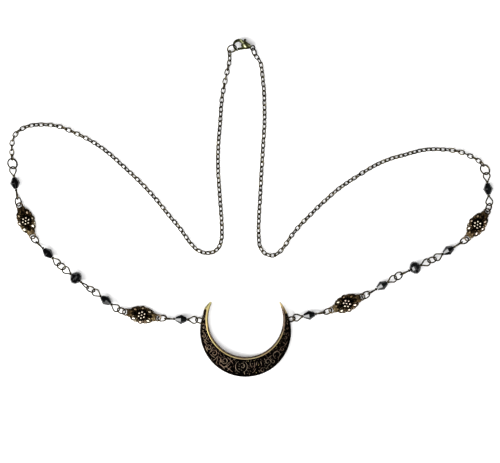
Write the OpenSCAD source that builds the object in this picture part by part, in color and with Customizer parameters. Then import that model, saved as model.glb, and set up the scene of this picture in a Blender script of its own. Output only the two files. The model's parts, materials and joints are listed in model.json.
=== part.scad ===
// Hair chain: a cast crescent, beads on wire pins, flower connectors and fine oval cable chain,
// closed into one loop by a lobster clasp. It lies flat, in millimetres, with +Z up.

/* [Crescent] */
// Outer radius of the crescent
crescent_r = 20; // [18:0.5:22]
// Width of the crescent at its foot, between the bay and the outer edge
foot_w = 8.7; // [8:0.1:9.5]
// Distance from the outer centre up to the bay centre
bay_shift = 5.2; // [4.8:0.1:5.6]
// Height of the sunk ground of the relief
ground_h = 2.3; // [2.1:0.1:2.8]
// Width of the raised inner rim
rim_w = 0.9; // [0.7:0.1:1.1]
// Height of the inner rim above the ground
rim_rise = 0.7; // [0.5:0.1:1]
// Width of the outer border
border_w = 0.55; // [0.5:0.05:0.7]
// Height of the outer border above the ground
border_rise = 0.35; // [0.3:0.05:0.5]
// Thickness of the relief's strokes
stroke_d = 0.5; // [0.4:0.05:0.6]
// Height of the underside of the horns
horn_lift = 1.2; // [0.9:0.1:1.4]
// Metal left between each horn's hole and the bay
hole_wall = 0.34; // [0.3:0.02:0.5]
// Diameter of the hole in each horn
horn_hole_d = 2.1; // [2:0.05:2.3]
// Ground left between the hole and the outer border
hole_land = 0.05; // [0.04:0.01:0.1]
// Radius of the rounded horn tips
tip_r = 0.55; // [0.45:0.05:0.65]
// Width at which a horn ends in its rounded tip
tip_w = 0.65; // [0.5:0.05:0.9]

/* [Jump rings] */
// Outer diameter of a jump ring
ring_d = 4.4; // [4:0.1:4.8]
// Wire of a jump ring
ring_wire = 0.6; // [0.5:0.05:0.65]
// Outer diameter of the ring in each horn's hole
first_ring_d = 4.6; // [4.3:0.1:4.7]
// Outer diameter of the ring where the fine chain starts
last_ring_d = 5.2; // [4.8:0.1:5.6]
// Wire of that ring
last_ring_wire = 0.65; // [0.55:0.05:0.7]
// Gap between a hanging ring and what it hangs on
ring_play = 0.25; // [0.2:0.01:0.3]

/* [Beads and pins] */
// Diameter of a bicone bead
bicone_d = 4.5; // [4:0.1:4.8]
// Length of a bicone bead
bicone_l = 5; // [4.4:0.1:5.2]
// Diameter of the rondelle bead
rondelle_d = 5.8; // [5.2:0.1:6.2]
// Length of the rondelle bead
rondelle_l = 4.8; // [4.2:0.1:5]
// Diameter of the flat round each drill hole
bead_flat_d = 1.8; // [1.4:0.1:2]
// Facets round a bicone bead
bicone_facets = 8; // [8:1:10]
// Facets round the rondelle bead
rondelle_facets = 10; // [8:1:12]
// Wire of the pins
pin_wire = 0.6; // [0.5:0.05:0.65]
// Outer diameter of a pin's eye
eye_d = 3.6; // [3.4:0.1:3.8]
// Distance from the middle of an eye's collar to the eye's centre
eye_reach = 2.8; // [2.7:0.1:3.2]
// Diameter of the wound collar at the foot of an eye
neck_d = 1; // [0.95:0.05:1.1]
// Length of that collar
neck_l = 0.7; // [0.6:0.05:0.8]
// Gap between a bead and each collar beside it
bead_play = 0.1; // [0.05:0.01:0.15]

/* [Flower connectors] */
// Distance between the centres of a connector's two eyelets
eyelet_span = 14.2; // [13.6:0.1:14.6]
// Hole of an eyelet
eyelet_hole_d = 2.1; // [2:0.05:2.3]
// Wall of an eyelet round its hole
eyelet_wall = 0.6; // [0.5:0.05:0.8]
// Thickness of an eyelet
eyelet_t = 0.8; // [0.7:0.05:0.9]
// Height of the middle of the eyelets
eyelet_z = 1.7; // [1.6:0.05:1.9]
// Length of the oval of petals
flower_l = 10.8; // [10:0.2:11.4]
// Width of the oval of petals
flower_w = 8.6; // [8:0.2:9.2]
// Height of the flower's centre
flower_h = 3.2; // [2.9:0.1:3.6]
// Diameter of the balls in the centre
ball_d = 1; // [0.8:0.05:1.1]
// Radius of the circle of balls
ball_circle_r = 1.35; // [1.25:0.05:1.5]
// Number of petals
petals = 8; // [8:1:8]

/* [Cable chain] */
// Wire of a chain link
link_wire = 0.5; // [0.4:0.05:0.55]
// Outer width of a chain link
link_w = 2.3; // [2.1:0.05:2.5]
// Inner length of a chain link
link_in_l = 2.24; // [2.2:0.02:2.6]
// Gap between neighbouring links
link_play = 0.14; // [0.12:0.01:0.17]

/* [Clasp] */
// Outer radius of the hook
hook_r = 2.75; // [2.6:0.05:2.9]
// Radius of the opening inside the hook
hook_bay_r = 1.65; // [1.55:0.05:1.7]
// Thickness of the hook
hook_t = 1; // [0.95:0.05:1.1]
// Width of the rounded edges of the hook
hook_edge = 0.22; // [0.15:0.01:0.3]
// Height of the middle plane of the clasp
clasp_z = 2; // [1.95:0.05:2.2]
// Thickness of each cheek of the body
cheek_t = 0.55; // [0.45:0.05:0.65]
// Thickness of the lever
lever_t = 0.6; // [0.5:0.02:0.66]
// Gap between the lever and each cheek
lever_gap = 0.1; // [0.06:0.01:0.12]
// Gap between the tip of the gate and the hook
gate_gap = 0.12; // [0.08:0.01:0.2]
// Diameter of the rivet
rivet_d = 0.7; // [0.6:0.05:0.8]
// Running clearance round the rivet
rivet_gap = 0.05; // [0.04:0.01:0.08]
// Diameter of the lever's thumb knob
knob_d = 1.1; // [0.9:0.1:1.3]
// Thickness of the tail's eye
tail_t = 0.8; // [0.7:0.05:0.9]
// Outer diameter of the tail's eye
tail_d = 2.5; // [2.4:0.1:2.7]
// Hole of the tail's eye
tail_hole_d = 1.5; // [1.45:0.05:1.6]
// Outer diameter of the ring that the hook holds
clasp_ring_d = 4.6; // [4.4:0.1:4.8]
// Outer diameter of the ring in the tail's eye
tail_ring_d = 4.2; // [4:0.1:4.4]

/* [Hidden] */
SIDES = ["left", "right"];
BEADS = 5;
RINGS = 8;
FLOWERS = 2;

// Overlap that keeps joined shapes one solid
bite = 0.1;
bronze = "#5b4a33";
pale_bronze = "#a09468";
jet = "#1b1d22";

// The centre of the crescent's outer circle
crescent_at = [-2.4, -54.3];
// The clasp's rivet, and the turn of the clasp in the plane
clasp_at = [-2.3, 70.9];
clasp_turn = -6;
// Places on the clasp, seen from its rivet before the turn
hook_at = [-3, 0.3];
hook_bay_at = [-3.3, 0];
tail_at = [3.1, -0.35];
knob_at = [-0.6, 2.8];

// Chosen points of the loop on each side, from the crescent's hole to the clasp
ROUTE = [
    [[-24.4, -49.3], [-32, -49], [-38.1, -48.6], [-41.1, -48.4], [-48.8, -47.1], [-57, -45.4],
     [-59, -44.2], [-64.7, -39.7], [-69.4, -36.4], [-72.2, -34.6], [-77, -31.2], [-82.7, -26.2],
     [-85.8, -23.6], [-89.3, -19.9], [-93.9, -15.3], [-96.1, -12.4], [-99.4, -4.9], [-102, 1.5],
     [-102.7, 4.3], [-103.9, 9.6], [-104.7, 17.4], [-105, 21.5], [-105.2, 27], [-104.6, 30.5],
     [-102.8, 33.3], [-100, 35.1], [-96.1, 36.3], [-90.7, 36.5], [-86.4, 36.1], [-82.6, 35.2],
     [-75.5, 32], [-69.7, 29], [-63.1, 24.4], [-55.4, 17.5], [-48.3, 10.8], [-42.1, 4.1],
     [-36.3, -3.1], [-31.1, -9.3], [-26.8, -15.4], [-23, -19], [-18.5, -20], [-14.8, -18.3],
     [-13, -14], [-12.9, -7], [-13.4, 0.4], [-14.1, 9.8], [-14.6, 19.4], [-14.3, 29],
     [-13.6, 37], [-13.2, 43.6], [-12.7, 49.1], [-11.9, 53.2], [-11.1, 57.2], [-10.2, 61.2],
     [-9.4, 65.2]],
    [[19.7, -48.2], [26.9, -47.1], [32.7, -45.8], [35.9, -44.8], [42.9, -41.8], [50, -38.6],
     [52.9, -37], [59, -33.7], [64, -30.3], [67.1, -28.6], [72.6, -26.2], [79.1, -23.1],
     [81.8, -21.8], [86.4, -19.3], [93, -15], [95.7, -12.8], [100.2, -7.1], [104.2, -1],
     [104.8, 1.9], [104.4, 8.8], [103.7, 13.7], [102.9, 17.1], [101.4, 19.6], [99, 21.4],
     [95.8, 23], [91.9, 24.6], [88, 25.3], [84.4, 25.6], [79.6, 25.7], [75.4, 25.3],
     [71.1, 24.3], [67.1, 23.1], [61.6, 21.6], [54.7, 18.7], [46.7, 13.9], [38.7, 8.5],
     [33.4, 3.9], [29.1, 0], [26, -3.2], [21.7, -7.5], [17.4, -12.8], [14.2, -17.6],
     [10.7, -20.8], [6.8, -20.6], [4, -17.4], [3.3, -11.2], [3.5, -3.2], [4, 4.8],
     [4.4, 12.8], [4.9, 20.8], [5.4, 28.8], [5.9, 36.8], [5.9, 44.2], [5.7, 51.5],
     [5.2, 56], [4.8, 60.3], [4.1, 64]]];

// The roll of each ring, and of each pin's near and far eye, about the run of the loop:
// 0 lies flat and open, 90 stands on edge
RING_ROLL = [[66, 50, 54, -50, 48, 50, 50, 34], [62, 50, -46, -42, -52, -50, 50, 32]];
EYE_NEAR = [[0, 0, 70, -25, -78], [0, 82, 80, 0, -8]];
EYE_FAR = [[-80, 10, -5, -80, -14], [-82, 15, 0, 84, -16]];

// The roll of every second link between the chain's two ends: share of the chain's length, roll
CHAIN_ROLL = [
    [[0.03, 100], [0.1, 50], [0.17, 72], [0.25, 44], [0.4, 50], [0.58, 42], [0.72, 52],
     [0.84, 46], [0.9, 62], [0.95, 88]],
    [[0.03, 96], [0.1, 50], [0.2, 42], [0.26, 48], [0.285, 70], [0.31, 48], [0.4, 58],
     [0.52, 64], [0.62, 44], [0.78, 40], [0.9, 50]]];

// Scrolls of the relief on each half: angle from the foot of the crescent, share of the free width
SCROLL_ANGLE = 0;
SCROLL_SHARE = 1;
SCROLLS = [[21.5, 0.6], [38, 0.84], [54, 0.8], [67, 0.78], [78, 0.76], [87, 0.74]];
foot_scroll_share = 0.84;

// Joint heights of the loop: what carries each end of a ring
function bead_d(k) = k == 3 ? rondelle_d : bicone_d;
function bead_l(k) = k == 3 ? rondelle_l : bicone_l;
function pin_z(k) = max(bead_d(k), eye_d) / 2;
eye_in_r = eye_d / 2 - pin_wire;
function neck_x(k) = bead_l(k) / 2 + bead_play + neck_l / 2;
function pin_half(k) = neck_x(k) + eye_reach + eye_in_r;
horn_z = (horn_lift + ground_h) / 2;
chain_rest_z = link_w / 2;

// How far the middle of a leaning ring stays inside the wall of an eyelet's hole and of a horn's
hole_seat = 0.38;
horn_seat = 0.45;

// The bay's radius, and the angle round the outer centre at which its edge has a given distance from it
bay_r = crescent_r + bay_shift - foot_w;
function bay_angle(r) = asin((r * r - bay_r * bay_r + bay_shift * bay_shift) / (2 * r * bay_shift));

// The horn's hole, seen from the crescent's centre, and the joint by its outer wall
hole_r = crescent_r - border_w - hole_land - horn_hole_d / 2;
hole_angle = bay_angle(hole_r - horn_hole_d / 2 - hole_wall);
function side_x(s) = s == 0 ? -1 : 1;
function hole_at(s) = [side_x(s) * hole_r * cos(hole_angle), hole_r * sin(hole_angle)];
function start_joint(s) =
    let (c = crescent_at + hole_at(s), run = ROUTE[s][0] - c)
    c + run / norm(run) * (horn_hole_d / 2 - horn_seat);

// The two rings at the clasp: each is held at its home joint and carries a chain at its other
function turned(p, a) = [p[0] * cos(a) - p[1] * sin(a), p[0] * sin(a) + p[1] * cos(a)];
function on_clasp(p) = clasp_at + turned(p, clasp_turn);
home_aim = [25, 108];
home_seat = [0.08, 0.2];
end_link_aim = [-142, -168];
end_ring_roll = [45, 61];
function end_ring_d(s) = s == 0 ? clasp_ring_d : tail_ring_d;
function end_in_r(s) = end_ring_d(s) / 2 - ring_wire;
function home_hole(s) = s == 0 ? on_clasp(hook_bay_at) : on_clasp(tail_at);
function home_hole_r(s) = s == 0 ? hook_bay_r : tail_hole_d / 2;
function aim(s) = [cos(home_aim[s]), sin(home_aim[s])];
function home_joint(s) = home_hole(s) - (home_hole_r(s) - home_seat[s]) * aim(s);
function end_ring_at(s) = home_joint(s) + (ring_play / 2 - end_in_r(s)) * aim(s);
function on_end_ring(s, u, v) =
    let (a = home_aim[s], roll = end_ring_roll[s])
    [u * cos(a) - v * sin(a) * cos(roll), u * sin(a) + v * cos(a) * cos(roll), v * sin(roll)];
// The last link reaches just round the end ring's wire, in line with the run of the chain
function end_joint(s) =
    let (c = end_ring_at(s), f = end_link_aim[s], r = (end_ring_d(s) - ring_wire) / 2,
         wire = [c[0], c[1], clasp_z] + on_end_ring(s, r * cos(f), r * sin(f)),
         run = flat(wire) - ROUTE[s][len(ROUTE[s]) - 1], reach = (ring_wire + ring_play) / 2 / norm(run))
    wire + [run[0], run[1], 0] * reach;
// Direction of the end ring's wire where the chain hangs on it
function end_wire(s) = on_end_ring(s, -sin(end_link_aim[s]), cos(end_link_aim[s]));

// A smooth curve through the points, and its length and place tables
smooth_steps = 6;
function bend(p, i, t) =
    let (a = p[max(i - 1, 0)], b = p[i], c = p[i + 1], d = p[min(i + 2, len(p) - 1)])
    0.5 * (2 * b + (c - a) * t + (2 * a - 5 * b + 4 * c - d) * t * t + (3 * b - a - 3 * c + d) * t * t * t);
function smooth(p) = concat(
    [for (i = [0:len(p) - 2]) for (j = [0:smooth_steps - 1]) bend(p, i, j / smooth_steps)],
    [p[len(p) - 1]]);
function along(p) = [for (i = 0, s = 0; i < len(p); s = s + (i + 1 < len(p) ? norm(p[i + 1] - p[i]) : 0),
                          i = i + 1) [s, p[i][0], p[i][1]]];
function flat(p) = [p[0], p[1]];
TRACK = [for (s = [0, 1]) along(smooth(concat([start_joint(s)], ROUTE[s], [flat(end_joint(s))])))];
TRACK_X = [for (t = TRACK) [for (q = t) [q[0], q[1]]]];
TRACK_Y = [for (t = TRACK) [for (q = t) [q[0], q[2]]]];
function track_l(s) = TRACK[s][len(TRACK[s]) - 1][0];
function at(s, l, z) = [lookup(l, TRACK_X[s]), lookup(l, TRACK_Y[s]), z];

// The order of the pieces from the crescent to the fine chain: kind, number, and the span
// between the joints at its two ends
RING = 0;
PIN = 1;
FLOWER = 2;
ORDER = [[RING, 1], [PIN, 1], [RING, 2], [FLOWER, 1], [RING, 3], [PIN, 2], [RING, 4], [PIN, 3],
         [RING, 5], [PIN, 4], [RING, 6], [FLOWER, 2], [RING, 7], [PIN, 5], [RING, 8]];
function ring_od(k) = k == 1 ? first_ring_d : k == RINGS ? last_ring_d : ring_d;
function ring_wd(k) = k == RINGS ? last_ring_wire : ring_wire;
function span(e) =
    e[0] == RING ? ring_od(e[1]) - 2 * ring_wd(e[1]) - ring_play :
    e[0] == PIN ? 2 * pin_half(e[1]) - ring_play : eyelet_span + eyelet_hole_d - 2 * hole_seat - ring_play;
REACH = [for (i = 0, s = 0; i <= len(ORDER); s = s + (i < len(ORDER) ? span(ORDER[i]) : 0), i = i + 1) s];
function hold_z(e) = e[0] == PIN ? pin_z(e[1]) : eyelet_z;
function joint_z(i) =
    i == 0 ? horn_z : i == len(ORDER) ? chain_rest_z :
    ORDER[i][0] == RING ? hold_z(ORDER[i - 1]) : hold_z(ORDER[i]);
function joint(s, i) = at(s, REACH[i], joint_z(i));
function place_of(kind, k) = [for (i = [0:len(ORDER) - 1]) if (ORDER[i] == [kind, k]) i][0];

// Roll at which a ring comes to rest on the surface, or its own roll where that is less
function rest_roll(s, k) =
    let (i = place_of(RING, k), zc = (joint_z(i) + joint_z(i + 1)) / 2, r = (ring_od(k) - ring_wd(k)) / 2,
         slope = (joint_z(i + 1) - joint_z(i)) / span(ORDER[i]), drop = (zc - ring_wd(k) / 2) / r,
         side = sqrt(max(0, drop * drop - slope * slope) / (1 - slope * slope)),
         own = RING_ROLL[s][k - 1])
    sign(own) * min(abs(own), asin(min(1, side)));

// The fine chain fills what is left of the loop with whole links
chain_start = REACH[len(ORDER)];
function chain_l(s) = track_l(s) - chain_start;
function links(s) = ceil(chain_l(s) / (link_in_l - link_play));
function pitch(s) = chain_l(s) / links(s);
// The first and the last link stand square to the wires that they hang on
function near_turn(roll, target) = roll + 180 * round((target - roll) / 180);
function last_roll(s) =
    let (d = end_joint(s) - chain_last_but_one(s), t = end_wire(s), n = norm([d[0], d[1]]))
    atan2((t[0] * d[1] - t[1] * d[0]) / n, t[2]) - ((links(s) - 1) % 2 == 0 ? 0 : 90);
function chain_last_but_one(s) = at(s, track_l(s) - pitch(s), end_joint(s)[2]);
function roll_table(s) =
    let (own = CHAIN_ROLL[s], last = own[len(own) - 1][1])
    concat([[0, rest_roll(s, RINGS) + 90]], own, [[1, near_turn(last_roll(s), last)]]);
ROLLS = [for (s = [0, 1]) roll_table(s)];
function link_roll(s, i) = lookup((i + 0.5) / links(s), ROLLS[s]) + (i % 2 == 0 ? 0 : 90);
function link_rest_z(s, i) = (link_w - link_wire) / 2 *
    max(abs(sin(link_roll(s, i))), abs(cos(link_roll(s, i)))) + link_wire / 2;
// Links over which the chain climbs to the rings at its ends
climb = 5;
function blend(a, b, t) = a + (b - a) * max(0, min(1, t));
function chain_joint_z(s, i) =
    let (n = links(s), rest = max(link_rest_z(s, max(i - 1, 0)), link_rest_z(s, min(i, n - 1))))
    i < climb ? blend(chain_rest_z, rest, i / climb) : blend(end_joint(s)[2], rest, (n - i) / climb);
function chain_joint(s, i) = at(s, chain_start + pitch(s) * i, chain_joint_z(s, i));

// Lays a piece whose length runs along X between two joints, rolled about that line
module between(a, b, roll = 0) {
    d = b - a;
    translate((a + b) / 2)
        rotate([0, -asin(d[2] / norm(d)), atan2(d[1], d[0])])
            rotate([roll, 0, 0]) children();
}

module round_wire(r, wire, start = 0, sweep = 360) {
    rotate_extrude(angle = sweep, start = start, $fn = 48) translate([r, 0]) circle(d = wire, $fn = 16);
}

module jump_ring(od, wire) {
    color(bronze) round_wire((od - wire) / 2, wire);
}

// One oval link: two half rounds and two straight sides
module link() {
    r = (link_w - link_wire) / 2;
    side = link_in_l + 2 * link_wire - link_w;
    for (e = [-1, 1]) translate([e * side / 2, 0, 0]) round_wire(r, link_wire, e > 0 ? -90 : 90, 180);
    for (e = [-1, 1]) translate([-side / 2, e * r, 0]) rotate([0, 90, 0]) cylinder(d = link_wire, h = side, $fn = 16);
}

module chain(s) {
    color(bronze) for (i = [0:links(s) - 1])
        between(chain_joint(s, i), chain_joint(s, i + 1), link_roll(s, i)) link();
}

// A teardrop eye whose collar is at the origin and whose round end points along +X. Its legs cross
// inside the collar, and a small solder ball joins each of them to the round end.
solder_d = 1.12 * pin_wire;
module eye() {
    cross_x = neck_l / 4;
    r = (eye_d - pin_wire) / 2;
    reach = eye_reach - cross_x;
    open = asin(r / reach);
    leg = sqrt(reach * reach - r * r);
    short = 0.08;
    gap = 3;
    translate([-neck_l / 2, 0, 0]) rotate([0, 90, 0]) cylinder(d = neck_d, h = neck_l, $fn = 24);
    translate([eye_reach, 0, 0]) round_wire(r, pin_wire, -90 - open + gap, 180 + 2 * (open - gap));
    for (e = [-1, 1]) translate([cross_x, 0, 0]) rotate([0, 90, e * open]) {
        translate([0, 0, -short]) cylinder(d = pin_wire, h = leg, $fn = 16);
        translate([0, 0, leg]) sphere(d = solder_d, $fn = 24);
    }
}

module pin(k, near_roll, far_roll) {
    neck = neck_x(k);
    color(bronze) {
        translate([-neck, 0, 0]) rotate([0, 90, 0]) cylinder(d = pin_wire, h = 2 * neck, $fn = 24);
        translate([neck, 0, 0]) rotate([far_roll, 0, 0]) eye();
        translate([-neck, 0, 0]) rotate([near_roll, 0, 0]) mirror([1, 0, 0]) eye();
    }
}

// Play between a bead and its pin
bore_gap = 0.15;
module drilled(l) {
    difference() {
        children();
        translate([-l, 0, 0]) rotate([0, 90, 0]) cylinder(d = pin_wire + 2 * bore_gap, h = 2 * l, $fn = 24);
    }
}

// A bicone bead: two cut cones that meet at a sharp girdle with one corner down
module bicone() {
    color(jet) drilled(bicone_l) for (e = [0, 1]) mirror([e, 0, 0]) rotate([0, 90, 0])
        cylinder(d1 = bicone_d, d2 = bead_flat_d, h = bicone_l / 2, $fn = bicone_facets);
}

// A rondelle bead: a narrow girdle between two rows of facets on each side
shoulder_x = 0.62;
shoulder_d = 0.84;
girdle_x = 0.16;
module rondelle() {
    half = rondelle_l / 2;
    color(jet) drilled(rondelle_l) for (e = [0, 1]) mirror([e, 0, 0]) rotate([0, 90, 0]) {
        cylinder(d = rondelle_d, h = half * girdle_x, $fn = rondelle_facets);
        translate([0, 0, half * girdle_x])
            cylinder(d1 = rondelle_d, d2 = rondelle_d * shoulder_d, h = half * (shoulder_x - girdle_x),
                     $fn = rondelle_facets);
        translate([0, 0, half * shoulder_x])
            cylinder(d1 = rondelle_d * shoulder_d, d2 = bead_flat_d, h = half * (1 - shoulder_x),
                     $fn = rondelle_facets);
    }
}

module bead(k) {
    if (k == 3) rondelle(); else bicone();
}

// A low dome: the cap of a sphere above a short round wall
module dome(d, wall, rise) {
    r = (d * d / 4 + rise * rise) / (2 * rise);
    cylinder(d = d, h = wall, $fn = 32);
    intersection() {
        translate([0, 0, wall - bite]) cylinder(d = d, h = rise + 2 * bite, $fn = 32);
        translate([0, 0, wall + rise - r]) sphere(r = r, $fn = 48);
    }
}

// A connector: a domed centre with seven balls, a ring of petals, and a leaf with an eyelet each way
petal_d = 3;
petal_h = 1.5;
petal_rise = 0.5;
centre_d = 4.9;
plate_r = flower_w / 2 - petal_d / 3;
plate_h = eyelet_z - eyelet_t / 2 + bite;
module flower() {
    color(pale_bronze) {
        flower_plate();
        dome(centre_d, flower_h - ball_d, ball_d / 2);
        for (i = [0:5]) rotate([0, 0, 60 * i + 30]) translate([ball_circle_r, 0, flower_h - ball_d / 2])
            sphere(d = ball_d, $fn = 24);
        translate([0, 0, flower_h - ball_d / 4]) sphere(d = ball_d, $fn = 24);
        for (i = [0:petals - 1]) {
            a = 360 / petals * (i + 0.5);
            translate([(flower_l - petal_d) / 2 * cos(a) * 1.06, (flower_w - petal_d) / 2 * sin(a) * 1.06, 0])
                dome(petal_d, petal_h, petal_rise);
        }
        for (e = [0, 1]) mirror([e, 0, 0]) flower_end();
    }
}

// The plate that the petals stand on: two discs joined by a block a little narrower than they are
module flower_plate() {
    shift = (flower_l - flower_w) / 2;
    block = 1.8 * plate_r;
    for (e = [-1, 1]) translate([e * shift, 0, 0]) cylinder(r = plate_r, h = plate_h, $fn = 64);
    translate([-shift, -block / 2, 0]) cube([2 * shift, block, plate_h]);
}

module flower_end() {
    out = eyelet_span / 2;
    low = eyelet_z - eyelet_t / 2;
    difference() {
        union() {
            translate([out, 0, low]) cylinder(d = eyelet_hole_d + 2 * eyelet_wall, h = eyelet_t, $fn = 32);
            translate([0, -eyelet_hole_d / 2, low]) cube([out, eyelet_hole_d, eyelet_t]);
            translate([flower_l / 2 - petal_d / 2, 0, 0]) dome(petal_d, petal_h, petal_rise);
        }
        translate([out, 0, low - bite]) cylinder(d = eyelet_hole_d, h = eyelet_t + 2 * bite, $fn = 32);
    }
}

// Radial place of the bay's edge at an angle round the crescent's outer centre
function bay_edge(a) = bay_shift * sin(a) + sqrt(bay_r * bay_r - pow(bay_shift * cos(a), 2));
function free_half(a) = (crescent_r - border_w - bay_edge(a) - rim_w) / 2;
function free_mid(a) = (crescent_r - border_w + bay_edge(a) + rim_w) / 2;
tip_y = (crescent_r - tip_w / 2) * sin(mid_angle(tip_w));
tip_x = sqrt(pow(crescent_r - tip_r, 2) - tip_y * tip_y);
// Angle at which the crescent has a given width, along its middle line
function mid_angle(w) =
    let (m = crescent_r - w / 2)
    asin((m * m - pow(bay_r + w / 2, 2) + bay_shift * bay_shift) / (2 * m * bay_shift));
// Where the underside starts to rise towards the horns, and where it reaches its height
rise_from_y = -10;
rise_to_y = 1;

module crescent() {
    color(bronze) translate([crescent_at[0], crescent_at[1], 0]) difference() {
        union() {
            difference() {
                cylinder(r = crescent_r, h = ground_h, $fn = 180);
                translate([0, bay_shift, -bite]) cylinder(r = bay_r, h = ground_h + 2 * bite, $fn = 180);
                translate([-crescent_r, tip_y, -bite])
                    cube([2 * crescent_r, crescent_r, ground_h + 2 * bite]);
            }
            crescent_rim();
            crescent_border();
            relief();
        }
        horn_holes();
        underside();
    }
}

module crescent_rim() {
    tip_a = atan2(tip_y - bay_shift, tip_x);
    translate([0, bay_shift, 0]) rotate_extrude(start = 180 - tip_a, angle = 180 + 2 * tip_a, $fn = 180)
        translate([bay_r, 0]) {
            square([rim_w, ground_h + rim_rise - rim_w / 2]);
            translate([rim_w / 2, ground_h + rim_rise - rim_w / 2]) circle(d = rim_w, $fn = 16);
        }
    for (e = [-1, 1]) translate([e * tip_x, tip_y, 0]) {
        cylinder(r = tip_r, h = ground_h + rim_rise - tip_r, $fn = 24);
        translate([0, 0, ground_h + rim_rise - tip_r]) sphere(r = tip_r, $fn = 24);
    }
}

module crescent_border() {
    tip_a = asin(tip_y / crescent_r);
    rotate_extrude(start = 180 - tip_a, angle = 180 + 2 * tip_a, $fn = 180)
        translate([crescent_r - border_w, 0]) polygon([[0, 0], [border_w, 0], [border_w, ground_h],
            [border_w * 0.6, ground_h + border_rise], [border_w * 0.3, ground_h + border_rise], [0, ground_h]]);
}

// A scroll: an outer and an inner stroke that turn round a boss
module scroll(r, facing, turn) {
    mirror([turn > 0 ? 0 : 1, 0, 0]) rotate([0, 0, facing]) {
        round_wire(r - stroke_d / 2, stroke_d, 20, 290);
        translate([r * 0.12, 0, 0]) round_wire(r * 0.5, stroke_d, 150, 240);
        sphere(r = min(r * 0.24, stroke_d), $fn = 24);
    }
}

module relief() {
    translate([0, 0, ground_h]) {
        translate([0, -free_mid(270), 0]) scroll(free_half(270) * foot_scroll_share, 60, 1);
        for (e = [-1, 1]) for (q = SCROLLS) {
            a = 270 + e * q[SCROLL_ANGLE];
            rotate([0, 0, a]) translate([free_mid(a), 0, 0])
                scroll(free_half(a) * q[SCROLL_SHARE], e * 40, e);
        }
    }
}

module horn_holes() {
    for (s = [0, 1]) translate([hole_at(s)[0], hole_at(s)[1], -bite])
        cylinder(d = horn_hole_d, h = ground_h + 1 + 2 * bite, $fn = 32);
}

// The underside of the horns is cut away so that a ring passes below them
module underside() {
    rotate([90, 0, 90]) linear_extrude(3 * crescent_r, center = true)
        polygon([[rise_from_y, 0], [rise_to_y, horn_lift], [crescent_r, horn_lift],
                 [crescent_r, -1], [rise_from_y, -1]]);
}

module end_ring(s) {
    translate([end_ring_at(s)[0], end_ring_at(s)[1], clasp_z]) rotate([0, 0, home_aim[s]])
        rotate([end_ring_roll[s], 0, 0]) jump_ring(end_ring_d(s), ring_wire);
}

slot_t = lever_t + 2 * lever_gap;
body_t = slot_t + 2 * cheek_t;
hub_r = 0.9;
// Radius about the rivet at which the gate ends, inside the tip of the hook
gate_r = 3.78;
gate_w = 1;
gate_root = [-0.5, -0.75];
gate_end = [-3.9, -1.72];
stem_x = [-0.9, -0.3];

module on_clasp_plane() {
    translate([clasp_at[0], clasp_at[1], clasp_z]) rotate([0, 0, clasp_turn]) children();
}

// A round plate centred on the middle plane, with cut edges
module edged_disc(r, t, edge) {
    for (e = [0, 1]) mirror([0, 0, e]) {
        cylinder(r = r, h = t / 2 - edge, $fn = 64);
        translate([0, 0, t / 2 - edge]) cylinder(r1 = r, r2 = r - edge, h = edge, $fn = 64);
    }
}

// A round hole through a plate centred on the middle plane, with flared mouths
module edged_hole(r, t, edge) {
    cylinder(r = r, h = t + 1, center = true, $fn = 64);
    for (e = [0, 1]) mirror([0, 0, e])
        translate([0, 0, t / 2 - edge]) cylinder(r1 = r, r2 = r + 2 * edge, h = 2 * edge, $fn = 64);
}

module cheek_outline() {
    hull() {
        translate([-0.7, 1.3]) circle(r = 1.05, $fn = 32);
        circle(r = 1.25, $fn = 32);
        translate([1.5, 0.1]) circle(r = 0.85, $fn = 32);
    }
}

module clasp_body() {
    neck_x = 1.2;
    neck = tail_at - [neck_x, 0];
    color(pale_bronze) on_clasp_plane() {
        difference() {
            union() {
                translate([0, 0, -body_t / 2]) linear_extrude(body_t) cheek_outline();
                translate(hook_at) edged_disc(hook_r, hook_t, hook_edge);
                translate([neck_x, 0, 0]) rotate([0, 0, atan2(neck[1], neck[0])])
                    translate([0, -tail_t / 2, -tail_t / 2]) cube([norm(neck), tail_t, tail_t]);
                translate([tail_at[0], tail_at[1], 0]) edged_disc(tail_d / 2, tail_t, hook_edge / 2);
            }
            translate(hook_bay_at) edged_hole(hook_bay_r, hook_t, hook_edge);
            translate([hook_bay_at[0], hook_bay_at[1], -body_t]) cylinder(r = hook_bay_r, h = 2 * body_t, $fn = 64);
            translate(tail_at) edged_hole(tail_hole_d / 2, tail_t, hook_edge / 2);
            lever_room();
            gate_room();
        }
        translate([0, 0, -body_t / 2]) cylinder(d = rivet_d, h = body_t, $fn = 24);
    }
}

// The slot between the cheeks in which the lever's hub, gate and stem swing
module lever_room() {
    translate([0, 0, -slot_t / 2]) {
        cylinder(r = hub_r + lever_gap, h = slot_t, $fn = 48);
        linear_extrude(slot_t) {
            polygon([[stem_x[0] - lever_gap, 0], [stem_x[0] - lever_gap, 4], [2.3, 4], [0.62, 0]]);
            polygon([[-3, -3], [-3, 0.55], [0, 0.55], [0, -3]]);
        }
    }
}

// The mouth of the hook, cut round the rivet so that the gate swings clear of the tip
module gate_room() {
    mouth_y = -0.8;
    difference() {
        intersection() {
            cylinder(r = gate_r + gate_gap, h = 2 * body_t, center = true, $fn = 96);
            translate([-gate_r - 1, mouth_y - gate_r, -body_t]) cube([gate_r + 1, gate_r, 2 * body_t]);
        }
        translate([0, 0, -body_t]) linear_extrude(2 * body_t) cheek_outline();
    }
}

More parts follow.
